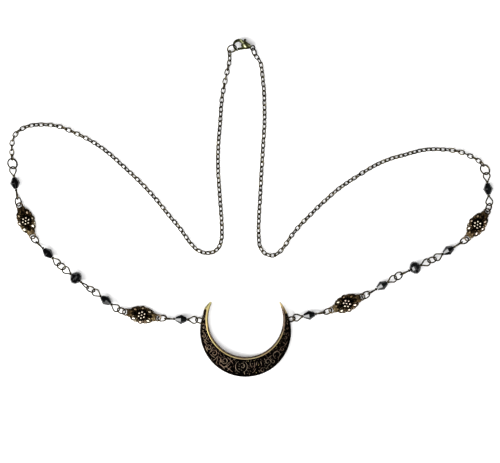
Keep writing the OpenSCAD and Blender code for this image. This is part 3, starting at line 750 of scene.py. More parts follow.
@dataclass
class Crescent:
    """The cast crescent: a plain rim round the bay, a raised outer border and scrolls between."""

    model: Model
    outer_r: float = 20.0
    bay_r: float = 16.5
    bay_shift: float = 5.2
    ground_h: float = 2.3
    rim_w: float = 1.2
    rim_rise: float = 0.7
    # The dark line on the bay side of the rim: its width, how much lower it lies, its share of the
    # rim's wear, and the angles at which it has run out and from which it is whole
    rim_line: float = 0.4
    rim_step: float = 0.15
    rim_line_wear: float = 0.35
    rim_line_angles: tuple[float, float] = (8.0, 2.0)
    # How far the crown of the line and of the rim stands above their sides
    crowns: tuple[float, float] = (0.3, 0.36)
    # Wear of the rim's sides, what its crown adds, and the share of both by the place along X,
    # which is highest at the left as painted light
    rim_wear: tuple[float, float] = (0.25, 0.75)
    rim_wear_and_light_x: tuple[float, ...] = (-14, -6, 0, 9)
    rim_wear_and_light_shares: tuple[float, ...] = (1.0, 0.8, 0.66, 0.78)
    # Share of the rim's wear that the right horn loses as painted shade, and the angles between
    # which it does
    horn_shade: float = 0.6
    horn_shade_angles: tuple[float, float] = (-8.0, 6.0)
    border_w: float = 0.55
    border_rise: float = 0.35
    # Shares of the border's width that its outer and its inner slope take
    border_slopes: tuple[float, float] = (0.35, 0.3)
    # Wear of the border, and the painted light that is added to it at the far left
    border_wear_and_light: tuple[float, float] = (0.06, 0.14)
    relief_rise: float = 0.42
    stroke_r: float = 0.24
    # Wear of a stroke's foot, what its crown adds, and the painted light that is added to that at
    # the far left
    stroke_wear_and_light: tuple[float, float, float] = (0.1, 0.15, 0.3)
    pearl_wear: float = 0.95
    hole_wear: float = 0.45
    horn_lift: float = 1.2
    rise_from_y: float = -10.0
    rise_to_y: float = 1.0
    hole_wall: float = 0.34
    hole_d: float = 2.1
    hole_land: float = 0.05
    tip_y: float = 12.6
    tip_r: float = 0.55
    # Radius of the rounded outer edge
    rounding: float = 0.16
    # How far the left horn swells out below its tip
    swell: float = 0.7
    # Angles above the level of the centre at which the left and the right horn turn plain, the
    # angle over which they do so, how much sooner they do by the outer edge, and their wear, higher
    # on the left horn as painted light
    plain_from: tuple[float, float] = (28.0, 37.5)
    plain_blend: float = 1.5
    plain_lead: float = 1.2
    plain_wear_and_light: tuple[float, float] = (0.88, 0.7)
    # How far a plain horn's middle stands above its sides
    dome_rise: float = 0.45
    # The rubbed outer lip of the right horn: where it starts, its width and its wear
    lip_from: float = 24.0
    lip_w: float = 0.75
    lip_wear: float = 0.75
    cell: float = 0.1
    cells_across: int = 84
    back_cells: int = 6
    scrolls: tuple[Scroll, ...] = (
        Scroll((-18.3, -1.9), 0.95, 100, -1.2), Scroll((-16.15, -7.1), 1.35, 190, -1.3),
        Scroll((-13.7, -9.5), 1.45, 150, -1.25), Scroll((-9.15, -12.9), 1.5, 160, 1.3, 0.4),
        Scroll((-9.15, -12.9), 2.6, 215, 0.34, 1.0), Scroll((-1.8, -15.4), 2.6, 118, 0.38, 1.0),
        Scroll((-1.8, -15.4), 2.6, 50, -0.34, 1.0), Scroll((-1.4, -15.3), 1.3, 110, -0.8),
        Scroll((9.8, -13.3), 1.5, 300, 1.2), Scroll((7.5, -16.9), 0.9, 60, 0.9, 0.6),
        Scroll((13.9, -10.2), 1.8, 250, -0.95, 0.6), Scroll((16.3, -7.7), 1.1, 40, 1.1),
        Scroll((12.2, -13.1), 1.1, 100, 1.1), Scroll((-18.2, 1.7), 0.6, 60, 0.9),
        Scroll((17.6, -2.6), 0.85, 200, 1.0), Scroll((18.3, 1.4), 0.6, 100, -0.9))
    leaves: tuple[Leaf, ...] = (
        Leaf((-18.6, 4.0), (-18.1, 2.7), 0.1), Leaf((-19.1, 0.6), (-18.2, 0.2)),
        Leaf((-19.2, -0.2), (-17.9, -0.8), 0.2), Leaf((-16.6, -1.6), (-18.2, -4.5), 0.2),
        Leaf((-18.4, -3.1), (-16.4, -4.9), -0.2), Leaf((-18.3, -4.3), (-17.0, -5.9), 0.1),
        Leaf((-14.2, -6.6), (-16.0, -9.7), 0.15), Leaf((-17.8, -6.2), (-16.7, -8.9), 0.1),
        Leaf((-11.9, -10.5), (-14.3, -12.8), 0.2), Leaf((-12.3, -11.6), (-13.0, -14.0), 0.2),
        Leaf((-15.4, -10.0), (-13.5, -11.5), -0.1), Leaf((-10.9, -11.3), (-11.6, -14.3), 0.3),
        Leaf((-8.0, -11.4), (-5.4, -14.4), 0.25), Leaf((-5.5, -12.6), (-9.3, -16.0), -0.3),
        Leaf((-8.5, -15.6), (-5.6, -17.9), 0.1), Leaf((-6.2, -15.2), (-8.1, -17.3), 0.1),
        Leaf((-10.9, -14.4), (-9.2, -16.6), 0.1), Leaf((-0.6, -17.7), (-0.3, -19.0)),
        Leaf((2.1, -13.5), (3.0, -15.9), -0.35), Leaf((3.9, -13.4), (3.2, -17.0), 0.5),
        Leaf((4.5, -16.1), (3.0, -18.2), 0.3), Leaf((6.4, -13.1), (7.0, -15.2), 0.3),
        Leaf((5.2, -13.2), (4.9, -15.0), -0.2), Leaf((10.9, -14.2), (9.3, -16.6), -0.3),
        Leaf((16.3, -4.6), (17.9, -5.8)), Leaf((18.4, -4.2), (17.0, -6.4), 0.2),
        Leaf((14.2, -7.9), (12.3, -9.7), 0.2), Leaf((15.9, -9.6), (14.3, -12.4), -0.3),
        Leaf((11.7, -10.5), (10.0, -11.8), -0.1), Leaf((8.3, -11.8), (8.6, -12.6)),
        Leaf((18.0, 4.0), (18.5, 2.8), 0.1), Leaf((18.4, -0.3), (17.7, -1.5), 0.1))
    # Bright pearls, mostly by the rim
    pearls: tuple[tuple[float, float], ...] = (
        (17.2, 0.7), (16.9, -1.3), (15.1, -5.2), (13.8, -6.7), (1.2, -13.1), (3.8, -12.8),
        (5.8, -14.7), (4.8, -18.1))
    pearl_r: float = 0.34
    # Rise of the pearls and of the short strokes as shares of the other strokes' rise
    pearl_share: float = 1.5
    filler_share: float = 0.7
    # Short strokes put by chance in the gaps: the tries, and how far from the others they keep
    tries: int = 900
    spacing: float = 0.62
    seed: int = 7

    def bay_edge(self, angle: np.ndarray) -> np.ndarray:
        """Distance from the outer centre to the bay's edge at some angles, in radians."""
        across = self.bay_shift * np.cos(angle)
        return self.bay_shift * np.sin(angle) + np.sqrt(self.bay_r**2 - across**2)

    def outer_edge(self, angle: np.ndarray) -> np.ndarray:
        """Distance from the outer centre to the outer edge.

        Args:
            angle: the angles, in radians.

        Returns:
            The distance at each.
        """
        level = np.degrees(np.arcsin(np.sin(angle)))
        share = np.clip((level - 20) / 9, 0, 1)
        share = share * share * (3 - 2 * share) * (1 - 0.5 * np.clip((level - 30) / 9, 0, 1))
        return self.outer_r + np.where(np.cos(angle) < 0, self.swell * share, 0)

    def leaf_path(self, leaf: Leaf, steps: int = 22) -> tuple[np.ndarray, np.ndarray]:
        """Samples a leaf.

        Args:
            leaf: the leaf.
            steps: the number of samples.

        Returns:
            The points along the leaf and its half width at each.
        """
        along = np.linspace(0, 1, steps)
        start, end = np.array(leaf.start), np.array(leaf.end)
        run = end - start
        left = np.array([-run[1], run[0]]) / np.hypot(*run)
        swelling = 4 * along * (1 - along)
        path = start + np.outer(along, run) + np.outer(leaf.bow * swelling, left)
        return path, self.stroke_r * (0.45 + 0.65 * np.sqrt(swelling))

    def fillers(self, taken: np.ndarray) -> list[Leaf]:
        """Short leaves in the gaps that the others leave.

        Args:
            taken: the points along the other strokes.

        Returns:
            The leaves.
        """
        chance = random.Random(self.seed)
        result: list[Leaf] = []
        margin = 0.25
        for _ in range(self.tries):
            angle = math.radians(chance.uniform(-202, 22))
            low = float(self.bay_edge(np.array(angle))) + self.rim_w + margin
            high = self.outer_r - self.border_w - margin
            radius, facing = chance.uniform(low, high), chance.uniform(0, math.pi)
            length, bow = chance.uniform(0.5, 1.2), chance.uniform(-0.25, 0.25)
            middle = radius * np.array([math.cos(angle), math.sin(angle)])
            if low > high or np.hypot(*(taken - middle).T).min() < self.spacing:
                continue
            reach = length / 2 * np.array([math.cos(facing), math.sin(facing)])
            result.append(Leaf(tuple(middle - reach), tuple(middle + reach), bow))
            taken = np.concatenate([taken, self.leaf_path(result[-1])[0]])
        return result

    def strokes(self) -> tuple[np.ndarray, np.ndarray]:
        """Samples the relief's strokes.

        Returns:
            Their points, and the half width and rise at each.
        """
        rows: list[np.ndarray] = []
        sizes: list[np.ndarray] = []

        def stroke(xy: np.ndarray, width: Any, rise: float) -> None:
            """Keeps one stroke's samples."""
            rows.append(xy)
            sizes.append(np.column_stack([width * np.ones(len(xy)), rise * np.ones(len(xy))]))

        for scroll in self.scrolls:
            along = np.linspace(0, 1, int(12 + 40 * abs(scroll.turns) * scroll.size))
            wound = math.radians(scroll.start) + along * scroll.turns * math.tau
            reach = scroll.size * (1 - (1 - scroll.inner) * along)
            turned = np.column_stack([np.cos(wound), np.sin(wound)]) * reach[:, None]
            width = self.stroke_r * (0.7 + 0.45 * np.sin(math.pi * along))
            stroke(np.array(scroll.at) + turned, width, self.relief_rise)
        for leaf in self.leaves:
            path, width = self.leaf_path(leaf)
            stroke(path, width, self.relief_rise)
        for spot in self.pearls:
            stroke(np.array([spot]), self.pearl_r, self.pearl_share * self.relief_rise)
        for leaf in self.fillers(np.concatenate(rows)):
            path, width = self.leaf_path(leaf, 10)
            stroke(path, width, self.filler_share * self.relief_rise)
        return np.concatenate(rows), np.concatenate(sizes)

    def relief(self, xy: np.ndarray) -> np.ndarray:
        """Height of the strokes above the ground.

        Args:
            xy: points round the centre of the outer edge, as rows.

        Returns:
            The height at each.
        """
        samples, sizes = self.strokes()
        result = np.zeros(len(xy))
        block = 4000
        for start in range(0, len(xy), block):
            part = xy[start : start + block]
            apart = ((part[:, None, :] - samples[None, :, :]) ** 2).sum(2)
            rounded = sizes[:, 1] * np.sqrt(np.clip(1 - apart / sizes[:, 0] ** 2, 0, 1))
            result[start : start + block] = rounded.max(1)
        return result

    def ground(self, xy: np.ndarray, outside: np.ndarray) -> tuple[np.ndarray, np.ndarray]:
        """Height and wear of the strokes, the ground between them and the outer border, with
        painted light at the left.

        Args:
            xy: points round the centre of the outer edge, as rows.
            outside: how far inside the outer edge each one lies.

        Returns:
            The height above the surface that the piece lies on, and the wear.
        """
        strokes = self.relief(xy)
        # Painted light from the lamp on the left: the strokes and the border are paler the further
        # left they lie
        leftness = np.clip(0.5 - xy[:, 0] / (2 * self.outer_r), 0, 1)
        foot, crown, left = self.stroke_wear_and_light
        rubbed = (strokes / self.relief_rise) ** 2
        wear = np.where(strokes > 0.05, foot + (crown + left * leftness) * rubbed, 0.0)
        wear = np.where(strokes > 1.2 * self.relief_rise, self.pearl_wear, wear)
        edge = np.clip(outside / self.border_w, 0, 1)
        outer_slope, inner_slope = self.border_slopes
        border = np.clip(np.minimum(edge / outer_slope, (1 - edge) / inner_slope), 0, 1)
        on_border = outside < self.border_w
        height = self.ground_h + np.where(on_border, self.border_rise * border, strokes)
        plain, left = self.border_wear_and_light
        return height, np.where(on_border, plain + left * leftness * (edge > 0.4), wear)

    def rim(
        self, x: np.ndarray, inside: np.ndarray, level: np.ndarray
    ) -> tuple[np.ndarray, np.ndarray]:
        """Height and wear of the rim round the bay, with the dark line on its bay side, painted
        light at the left and painted shade on the right horn.

        Args:
            x: how far to the right of the crescent's middle each point lies.
            inside: how far from the bay's edge each one lies.
            level: the angle of each above the level of the outer centre.

        Returns:
            The height above the surface that the piece lies on, and the wear.
        """
        across = np.clip(inside / self.rim_w, 0, 1)
        gone, whole = self.rim_line_angles
        line = self.rim_line / self.rim_w * np.clip((gone - level) / (gone - whole), 0, 1)
        split = np.maximum(line, 1e-3)
        on_line = across < split
        ridge = np.where(on_line, across / split, (across - split) / (1 - split))
        crown = np.sqrt(np.clip(1 - (2 * ridge - 1) ** 2, 0, 1))
        height = self.ground_h + self.rim_rise - np.where(on_line, *self.crowns) * (1 - crown)
        height = height - np.where(on_line, self.rim_step, 0)
        side, top = self.rim_wear
        shine = side + top * crown ** 1.5
        # The rim is paler most at the left, where it is painted light, less at the foot, and little
        # on the right horn, where painted shade darkens it
        shine = shine * np.interp(x, self.rim_wear_and_light_x, self.rim_wear_and_light_shares)
        # Painted shade on the right horn's rim
        first, last = self.horn_shade_angles
        painted_shade = self.horn_shade * np.clip((level - first) / (last - first), 0, 1)
        shine = shine * np.where(x > 0, 1 - painted_shade, 1)
        return height, shine * np.where(on_line, self.rim_line_wear, 1.0)

    def surface(self, xy: np.ndarray) -> tuple[np.ndarray, np.ndarray]:
        """Height and wear of the face.

        Args:
            xy: points round the centre of the outer edge, as rows.

        Returns:
            The height above the surface that the piece lies on, and the wear from 0 to 1.
        """
        x, y = xy[:, 0], xy[:, 1]
        inside = np.hypot(x, y - self.bay_shift) - self.bay_r
        outside = self.outer_edge(np.arctan2(y, x)) - np.hypot(x, y)
        level = np.degrees(np.arctan2(y, np.abs(x)))
        height, wear = self.ground(xy, outside)
        rim_height, rim_wear = self.rim(x, inside, level)
        on_rim = inside < self.rim_w
        height, wear = np.where(on_rim, rim_height, height), np.where(on_rim, rim_wear, wear)
        on_lip = (x > 0) & (level > self.lip_from) & (outside < self.lip_w)
        wear = np.where(on_lip, self.lip_wear, wear)
        begin = np.where(x < 0, *self.plain_from)
        lead = self.plain_lead * (0.5 - np.clip(outside, 0, 1))
        plain = np.clip((level - begin) / self.plain_blend + lead, 0, 1)
        span = np.clip(outside / np.maximum(outside + inside, 1e-6), 0, 1)
        dome = self.ground_h + self.rim_rise - self.dome_rise * (2 * span - 1) ** 2
        height = height + plain * (np.maximum(dome, height) - height)
        # The plain horns take their own wear, which is higher on the left horn as painted light
        wear = wear + plain * (np.where(x < 0, *self.plain_wear_and_light) - wear)
        drop = np.clip(self.rounding - outside, 0, self.rounding)
        height = height - (self.rounding - np.sqrt(np.maximum(self.rounding**2 - drop**2, 0)))
        return height, np.clip(wear, 0, 1)

    def underside(self, y: np.ndarray) -> np.ndarray:
        """Height of the back, which rises towards the horns."""
        share = (y - self.rise_from_y) / (self.rise_to_y - self.rise_from_y)
        return self.horn_lift * np.clip(share, 0, 1)

    def columns(self) -> tuple[np.ndarray, np.ndarray, np.ndarray]:
        """The rows of points across the crescent, from the right tip round to the left one.

        Returns:
            Each row's angle, and its inner and outer distance from the outer centre.
        """
        top = math.asin(self.tip_y / self.outer_r)
        count = int((math.pi + 2 * top) * self.outer_r / self.cell)
        main = np.linspace(top, -math.pi - top, count)
        # The rows that round each tip off
        swing = np.radians(np.linspace(8, 80, 9))
        past = self.tip_r * np.sin(swing) / self.outer_r
        angles = np.concatenate([top + past[::-1], main, -math.pi - top - past])
        shrink = np.concatenate([np.cos(swing)[::-1], np.ones(count), np.cos(swing)])
        held = np.clip(angles, -math.pi - top, top)
        inner, outer = self.bay_edge(held), self.outer_edge(held)
        middle, half = (inner + outer) / 2, (outer - inner) / 2 * shrink
        return angles, middle - half, middle + half

    def body(self) -> bpy.types.Mesh:
        """The closed casting without its holes.

        Returns:
            Its mesh round the centre of the outer edge, in millimetres.
        """
        angles, inner, outer = self.columns()
        rows, cols = len(angles), self.cells_across + 1
        share = np.linspace(0, 1, cols)
        radii = inner[:, None] + (outer - inner)[:, None] * share[None, :]
        x = radii * np.cos(angles)[:, None]
        y = radii * np.sin(angles)[:, None]
        flat = np.column_stack([x.ravel(), y.ravel()])
        front = np.column_stack([flat, self.surface(flat)[0]])
        kept = np.linspace(0, cols - 1, self.back_cells + 1).round().astype(int)
        flat_back = np.column_stack([x[:, kept].ravel(), y[:, kept].ravel()])
        back = np.column_stack([flat_back, self.underside(flat_back[:, 1])])
        first = rows * cols
        faces: list[list[int]] = []

        def add_quads(a: np.ndarray, b: np.ndarray, c: np.ndarray, d: np.ndarray,
                      flip: bool) -> None:
            """Adds the faces between four rows of points."""
            quads = np.column_stack([a, b, c, d])
            faces.extend((quads[:, ::-1] if flip else quads).tolist())

        for start, width, flip in ((0, cols, True), (first, len(kept), False)):
            low = (start + np.arange(rows - 1)[:, None] * width + np.arange(width - 1)).ravel()
            add_quads(low, low + 1, low + width + 1, low + width, flip)
        for col, back_col, flip in ((0, 0, False), (cols - 1, len(kept) - 1, True)):
            a = np.arange(rows) * cols + col
            b = first + np.arange(rows) * len(kept) + back_col
            add_quads(a[:-1], a[1:], b[1:], b[:-1], flip)
        for row, flip in ((0, True), (rows - 1, False)):
            front_row = list(range(row * cols, row * cols + cols))
            back_row = list(range(first + row * len(kept), first + (row + 1) * len(kept)))
            loop = front_row + back_row[::-1]
            faces.append(loop[::-1] if flip else loop)
        return mesh_of(np.concatenate([front, back]), faces)

    def drills(self) -> bpy.types.Mesh:
        """The two round bars that the holes of the horns are cut with.

        Returns:
            Their mesh round the centre of the outer edge, in millimetres.
        """
        drill = bmesh.new()
        away = self.outer_r - self.border_w - self.hole_land - self.hole_d / 2
        # Each hole stands where it leaves its wall to the bay
        bay = away - self.hole_d / 2 - self.hole_wall
        turn = math.asin((bay**2 - self.bay_r**2 + self.bay_shift**2) / (2 * bay * self.bay_shift))
        for side in (-1, 1):
            spot = Matrix.Translation((side * away * math.cos(turn), away * math.sin(turn), 2.0))
            bmesh.ops.create_cone(drill, cap_ends=True, segments=48, radius1=self.hole_d / 2,
                                  radius2=self.hole_d / 2, depth=6.0, matrix=spot)
        return closed_off(drill)

    def build(self) -> None:
        """Makes the crescent and cuts the hole of each horn."""
        holder = add_object("holder", self.body())
        cutter = add_object("cutter", self.drills())
        cut = holder.modifiers.new("holes", "BOOLEAN")
        cut.operation = "DIFFERENCE"
        cut.solver = "MANIFOLD"
        cut.object = cutter
        mesh = plain_mesh(holder)
        bpy.data.objects.remove(cutter)
        points = coordinates(mesh)
        height, wear = self.surface(points[:, :2])
        below = points[:, 2] < height - 0.25
        put_values(mesh, "wear", np.where(below, self.hole_wear, wear))
        shade_smooth(mesh)
        low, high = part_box("crescent")
        centre = Vector(((low.x + high.x) / 2, low.y + self.outer_r * MM, 0))
        mesh.transform(Matrix.Translation(centre) @ Matrix.Scale(MM, 4))
        self.model.dress("cast_crescent", mesh, CRESCENT_BRONZE, "crescent")


@dataclass(frozen=True)
class Cushion:
    """A closed cast shape on a flat back, drawn by the height of its rings."""

    # Share of the outline and height of each ring, from the middle out
    profile: tuple[tuple[float, float], ...]
    # The outline's length along X and width along Y, and how much narrower its end at +X is
    length: float
    width: float
    taper: float = 0.0
    sides: int = 32

    def mesh(self) -> bpy.types.Mesh:
        """Builds the shape.

        Returns:
            The mesh, with its back at a height of 0.
        """
        around = np.linspace(0, math.tau, self.sides, endpoint=False)
        narrow = 1 - self.taper * np.clip(np.cos(around), 0, 1) ** 1.5
        outline = np.column_stack([self.length / 2 * np.cos(around),
                                   self.width / 2 * np.sin(around) * narrow])
        rings = [np.column_stack([outline * share, np.full(self.sides, height)])
                 for share, height in self.profile[1:]]
        rings.append(np.column_stack([outline, np.zeros(self.sides)]))
        points = np.concatenate([[[0, 0, self.profile[0][1]]], *rings, [[0, 0, 0]]])
        faces: list[list[int]] = []
        for side in range(self.sides):
            after = (side + 1) % self.sides
            faces.append([0, 1 + side, 1 + after])
            for ring in range(len(rings) - 1):
                a, b = 1 + ring * self.sides, 1 + (ring + 1) * self.sides
                faces.append([a + side, b + side, b + after, a + after])
            last = 1 + (len(rings) - 1) * self.sides
            faces.append([last + side, len(points) - 1, last + after])
        return mesh_of(points, faces)


@dataclass(frozen=True)
class Copy:
    """One copy of a cast shape on the flower: its place, the turn of its wear, and its size.

    The shape itself lies along X. Its wear is laid on as if it were turned, in degrees.
    """

    at: tuple[float, float, float]
    turn: float = 0.0
    size: tuple[float, float, float] = (1.0, 1.0, 1.0)


@dataclass
class FlowerConnectors:
    """Cast connectors: balls on a dome, petals, sepals, and a leaf with an eyelet each way."""

    model: Model
    rosette: ShapeTree
    rings: ShapeTree
    petal: Cushion = Cushion(
        ((0, 0.95), (0.2, 0.93), (0.4, 0.8), (0.55, 0.55), (0.66, 0.45), (0.8, 0.7), (0.88, 0.72),
         (0.96, 0.55)), 3.5, 2.3, 0.25)
    sepal: Cushion = Cushion(
        ((0, 0.85), (0.3, 0.78), (0.7, 0.45), (0.95, 0.15)), 2.5, 0.95, 0.9, 20)
    plate: Cushion = Cushion(((0, 1.1), (0.85, 1.1), (0.97, 0.9)), 9.6, 7.0, 0.0, 48)
    dome: Cushion = Cushion(
        ((0, 2.35), (0.35, 2.29), (0.65, 2.05), (0.85, 1.65), (0.97, 1.0)), 5.25, 5.0, 0.0, 40)
    # What carries each eyelet: its leaf, the swelling at the leaf's root and the lobes by the hole
    bar: Cushion = Cushion(((0, 0.9), (0.6, 0.85), (0.9, 0.6)), 4.0, 3.6, 0.0, 24)
    root: Cushion = Cushion(((0, 1.25), (0.5, 1.15), (0.85, 0.8)), 2.6, 2.4, 0.0, 24)
    lobe: Cushion = Cushion(((0, 1.0), (0.4, 0.92), (0.75, 0.7), (0.95, 0.4)), 2.6, 1.3, 0.3, 20)
    bar_x: float = 4.7
    root_x: float = 4.6
    # How far the lobes stand from the eyelet's middle, inwards and across, and their turn
    lobe_in: float = 1.4
    lobe_across: float = 1.2
    lobe_turn: float = 16.0
    ball_d: float = 0.95
    ball_circle_r: float = 1.35
    ball_top: float = 3.18
    eyelet_x: float = 7.1
    eyelet_z: float = 1.7
    eyelet_in_d: float = 2.1
    eyelet_wall: float = 0.6
    eyelet_t: float = 0.8
    voxel: float = 0.085
    # Wear of a petal by its outline's share: its middle, the groove round that and the lip
    petal_shares: tuple[float, ...] = (0, 0.42, 0.53, 0.68, 0.8, 0.93, 1.03)
    petal_wear: tuple[float, ...] = (0.95, 0.85, 0.12, 0.02, 0.6, 0.5, 0.1)
    sepal_wear: tuple[float, float] = (0.75, 0.25)
    plate_wear: float = 0.08
    dome_wear: float = 0.03
    # Wear of the eyelets and of the ends of their leaves, and where it starts
    end_wear: float = 0.36
    end_from: float = 4.9
    back_wear: float = 0.1
    ridge_wear: float = 0.6

    def quarters(
        self, at: tuple[float, float, float], way: tuple[float, float],
        size: tuple[float, float, float] = (1.0, 1.0, 1.0),
    ) -> list[Copy]:
        """A copy in each quarter of the flower.

        Args:
            at: the place in the quarter of positive X and Y.
            way: the direction that the copy's wear points there.
            size: its size along, across and up.

        Returns:
            The four copies.
        """
        return [Copy((side * at[0], up * at[1], at[2]),
                     math.degrees(math.atan2(up * way[1], side * way[0])), size)
                for side in (-1, 1) for up in (-1, 1)]

    def petals(self) -> list[Copy]:
        """Two petals at each end and one on each side.

        Returns:
            The six copies.
        """
        stand = math.radians(26)
        ends = self.quarters((3.55 * math.cos(stand), 4.6 * math.sin(stand), 0.75), (3.2, 2.2))
        return ends + [Copy((0, up * 3.0, 0.7), 90 * up, (0.78, 0.95, 1)) for up in (-1, 1)]

    def sepals(self) -> list[Copy]:
        """Pointed sepals between the petals, and two small leaves before each eyelet.

        Returns:
            The twelve copies.
        """
        between = self.quarters((2.05, 3.15, 0.55), (1.0, 1.6))
        low = self.quarters((0.95, 3.25, 0.5), (1.0, 2.6), (0.8, 0.7, 0.9))
        ends = [Copy((side * 5.15, up * 0.55, 0.6), 90 - side * 90 - side * up * 24, (0.9, 0.9, 1))
                for side in (-1, 1) for up in (-1, 1)]
        return between + low + ends

    def balls(self) -> list[Copy]:
        """Six balls round one, the middle one a little lower.

        Returns:
            The seven copies.
        """
        z = self.ball_top - self.ball_d / 2
        stands = [math.radians(60 * i + 30) for i in range(6)]
        ring = [Copy((self.ball_circle_r * math.cos(a), self.ball_circle_r * math.sin(a), z))
                for a in stands]
        return ring + [Copy((0, 0, z - 0.06), 0, (0.9, 0.9, 0.9))]

    def share(self, points: np.ndarray, copies: list[Copy], shape: Cushion) -> np.ndarray:
        """How far out in the nearest copy's outline each point lies, seen from above.

        Args:
            points: the points as rows.
            copies: the copies.
            shape: their shape.

        Returns:
            One number for each point, from 0 in a copy's middle to 1 on its outline.
        """
        shares = []
        for copy in copies:
            turn = math.radians(copy.turn)
            run = np.array([math.cos(turn), math.sin(turn)])
            off = points[:, :2] - copy.at[:2]
            along = off @ run / (shape.length / 2 * copy.size[0])
            across = off @ np.array([-run[1], run[0]]) / (shape.width / 2 * copy.size[1])
            narrow = 1 - self.petal.taper * np.clip(along, 0, 1) ** 1.5
            shares.append(np.hypot(along, across / narrow))
        return np.min(shares, 0)

    def scattered(self, shape: bpy.types.Mesh, copies: list[Copy]) -> bpy.types.Mesh:
        """Puts copies of a shape at their places with the rosette tree.

        Args:
            shape: the shape's mesh.
            copies: the copies.

        Returns:
            One mesh of them all.
        """
        base = mesh_of([copy.at for copy in copies])
        size = base.attributes.new("size", "FLOAT_VECTOR", "POINT")
        for spot, copy in zip(size.data, copies):
            spot.vector = copy.size
        original = add_object("shape", shape)
        mesh = self.rosette.grow(base, Shape=original)
        bpy.data.objects.remove(original)
        return mesh

    def end(self, side: int) -> list[bpy.types.Mesh]:
        """The leaf that carries an eyelet, with its root and lobes, and the eyelet.

        Args:
            side: -1 for the left end or 1 for the right one.

        Returns:
            The shells.
        """
        bar, root = self.bar.mesh(), self.root.mesh()
        bar.transform(Matrix.Translation((side * self.bar_x, 0, self.eyelet_z - 0.55)))
        root.transform(Matrix.Translation((side * self.root_x, 0, 0.2)))
        hoop = self.rings.grow(
            mesh_of([[0, 0, 0]]), Diameter=self.eyelet_in_d + 2 * self.eyelet_wall,
            Wire=self.eyelet_wall, Gap=0.0, Steps=48, Sides=12)
        hoop.transform(Matrix.Translation((side * self.eyelet_x, 0, self.eyelet_z))
                       @ Matrix.Diagonal((1, 1, self.eyelet_t / self.eyelet_wall, 1)))
        shells = [bar, root, hoop]
        # The leaf that the eyelet is cast into swells out beside the hole
        for up in (-1, 1):
            lobe = self.lobe.mesh()
            spot = (side * (self.eyelet_x - self.lobe_in), up * self.lobe_across, 1.0)
            turn = math.radians(90 - side * 90 - side * up * self.lobe_turn)
            lobe.transform(Matrix.Translation(spot) @ Matrix.Rotation(turn, 4, "Z"))
            shells.append(lobe)
        return shells

    def wear(self, skin: bpy.types.Mesh) -> np.ndarray:
        """Wear of the casting by what each point belongs to.

        Args:
            skin: the casting.

        Returns:
            One number for each point, from 0 to 1.
        """
        points = coordinates(skin)
        on_petal = self.share(points, self.petals(), self.petal)
        on_sepal = self.share(points, self.sepals(), self.sepal)
        on_dome = np.hypot(points[:, 0] / (self.dome.length / self.dome.width), points[:, 1])
        middle, edge = self.sepal_wear
        wear = np.where(on_sepal < 1.05, middle - (middle - edge) * on_sepal, self.plate_wear)
        ringed = np.interp(on_petal, self.petal_shares, self.petal_wear)
        wear = np.where(on_petal < self.petal_shares[-1], ringed, wear)
        wear = np.where(on_dome < self.dome.width / 2, self.dome_wear, wear)
        wear = np.where(np.abs(points[:, 0]) > self.end_from, self.end_wear, wear)
        wear = wear + self.ridge_wear * (ridges(skin, 14, 0.085) - 0.5)
        wear = np.where(points[:, 2] < 0.25, self.back_wear, wear)
        away = np.min([np.hypot(points[:, 0] - ball.at[0], points[:, 1] - ball.at[1])
                       for ball in self.balls()], 0)
        on_ball = (points[:, 2] > self.ball_top - 0.42) & (away < 0.42)
        return np.clip(np.where(on_ball, 1.0 - 0.9 * away, wear), 0, 1)

    def casting(self) -> bpy.types.Mesh:
        """The whole connector as one skin.

        Returns:
            Its mesh round its own middle, in millimetres, with its wear.
        """
        ball = bmesh.new()
        bmesh.ops.create_uvsphere(ball, u_segments=20, v_segments=14, radius=self.ball_d / 2)
        shells = [
            self.plate.mesh(), self.dome.mesh(), self.scattered(self.petal.mesh(), self.petals()),
            self.scattered(self.sepal.mesh(), self.sepals()),
            self.scattered(closed_off(ball), self.balls()), *self.end(-1), *self.end(1)]
        skin = recast(joined(shells), self.voxel, 2)
        put_values(skin, "wear", self.wear(skin))
        return skin

    def build(self) -> None:
        """Makes one casting and seats it at each connector's node."""
        casting = self.casting()
        wear = np.empty(len(casting.vertices), np.float32)
        casting.attributes["wear"].data.foreach_get("value", wear)
        local = coordinates(casting)
        for node in self.model.names("flower_"):
            seat = Seat.of(self.model.points(node))
            foot = Seat(seat.centre * [1, 1, 0], seat.axes, seat.half)
            mesh = casting.copy()
            # The petals towards the top of the picture are painted darker, as painted shade on the
            # side away from the lamps
            painted_shade_share = np.clip((local @ seat.axes.T)[:, 1] / 2.5 + 0.2, 0, 1)
            outer = np.hypot(local[:, 0], local[:, 1]) > 2.2
            put_values(mesh, "wear", wear * np.where(outer, 1 - 0.5 * painted_shade_share, 1))
            mesh.transform(foot.matrix(MM))
            shade_smooth(mesh)
            self.model.dress(f"cast_{node}", mesh, FLOWER_BRONZE, node)


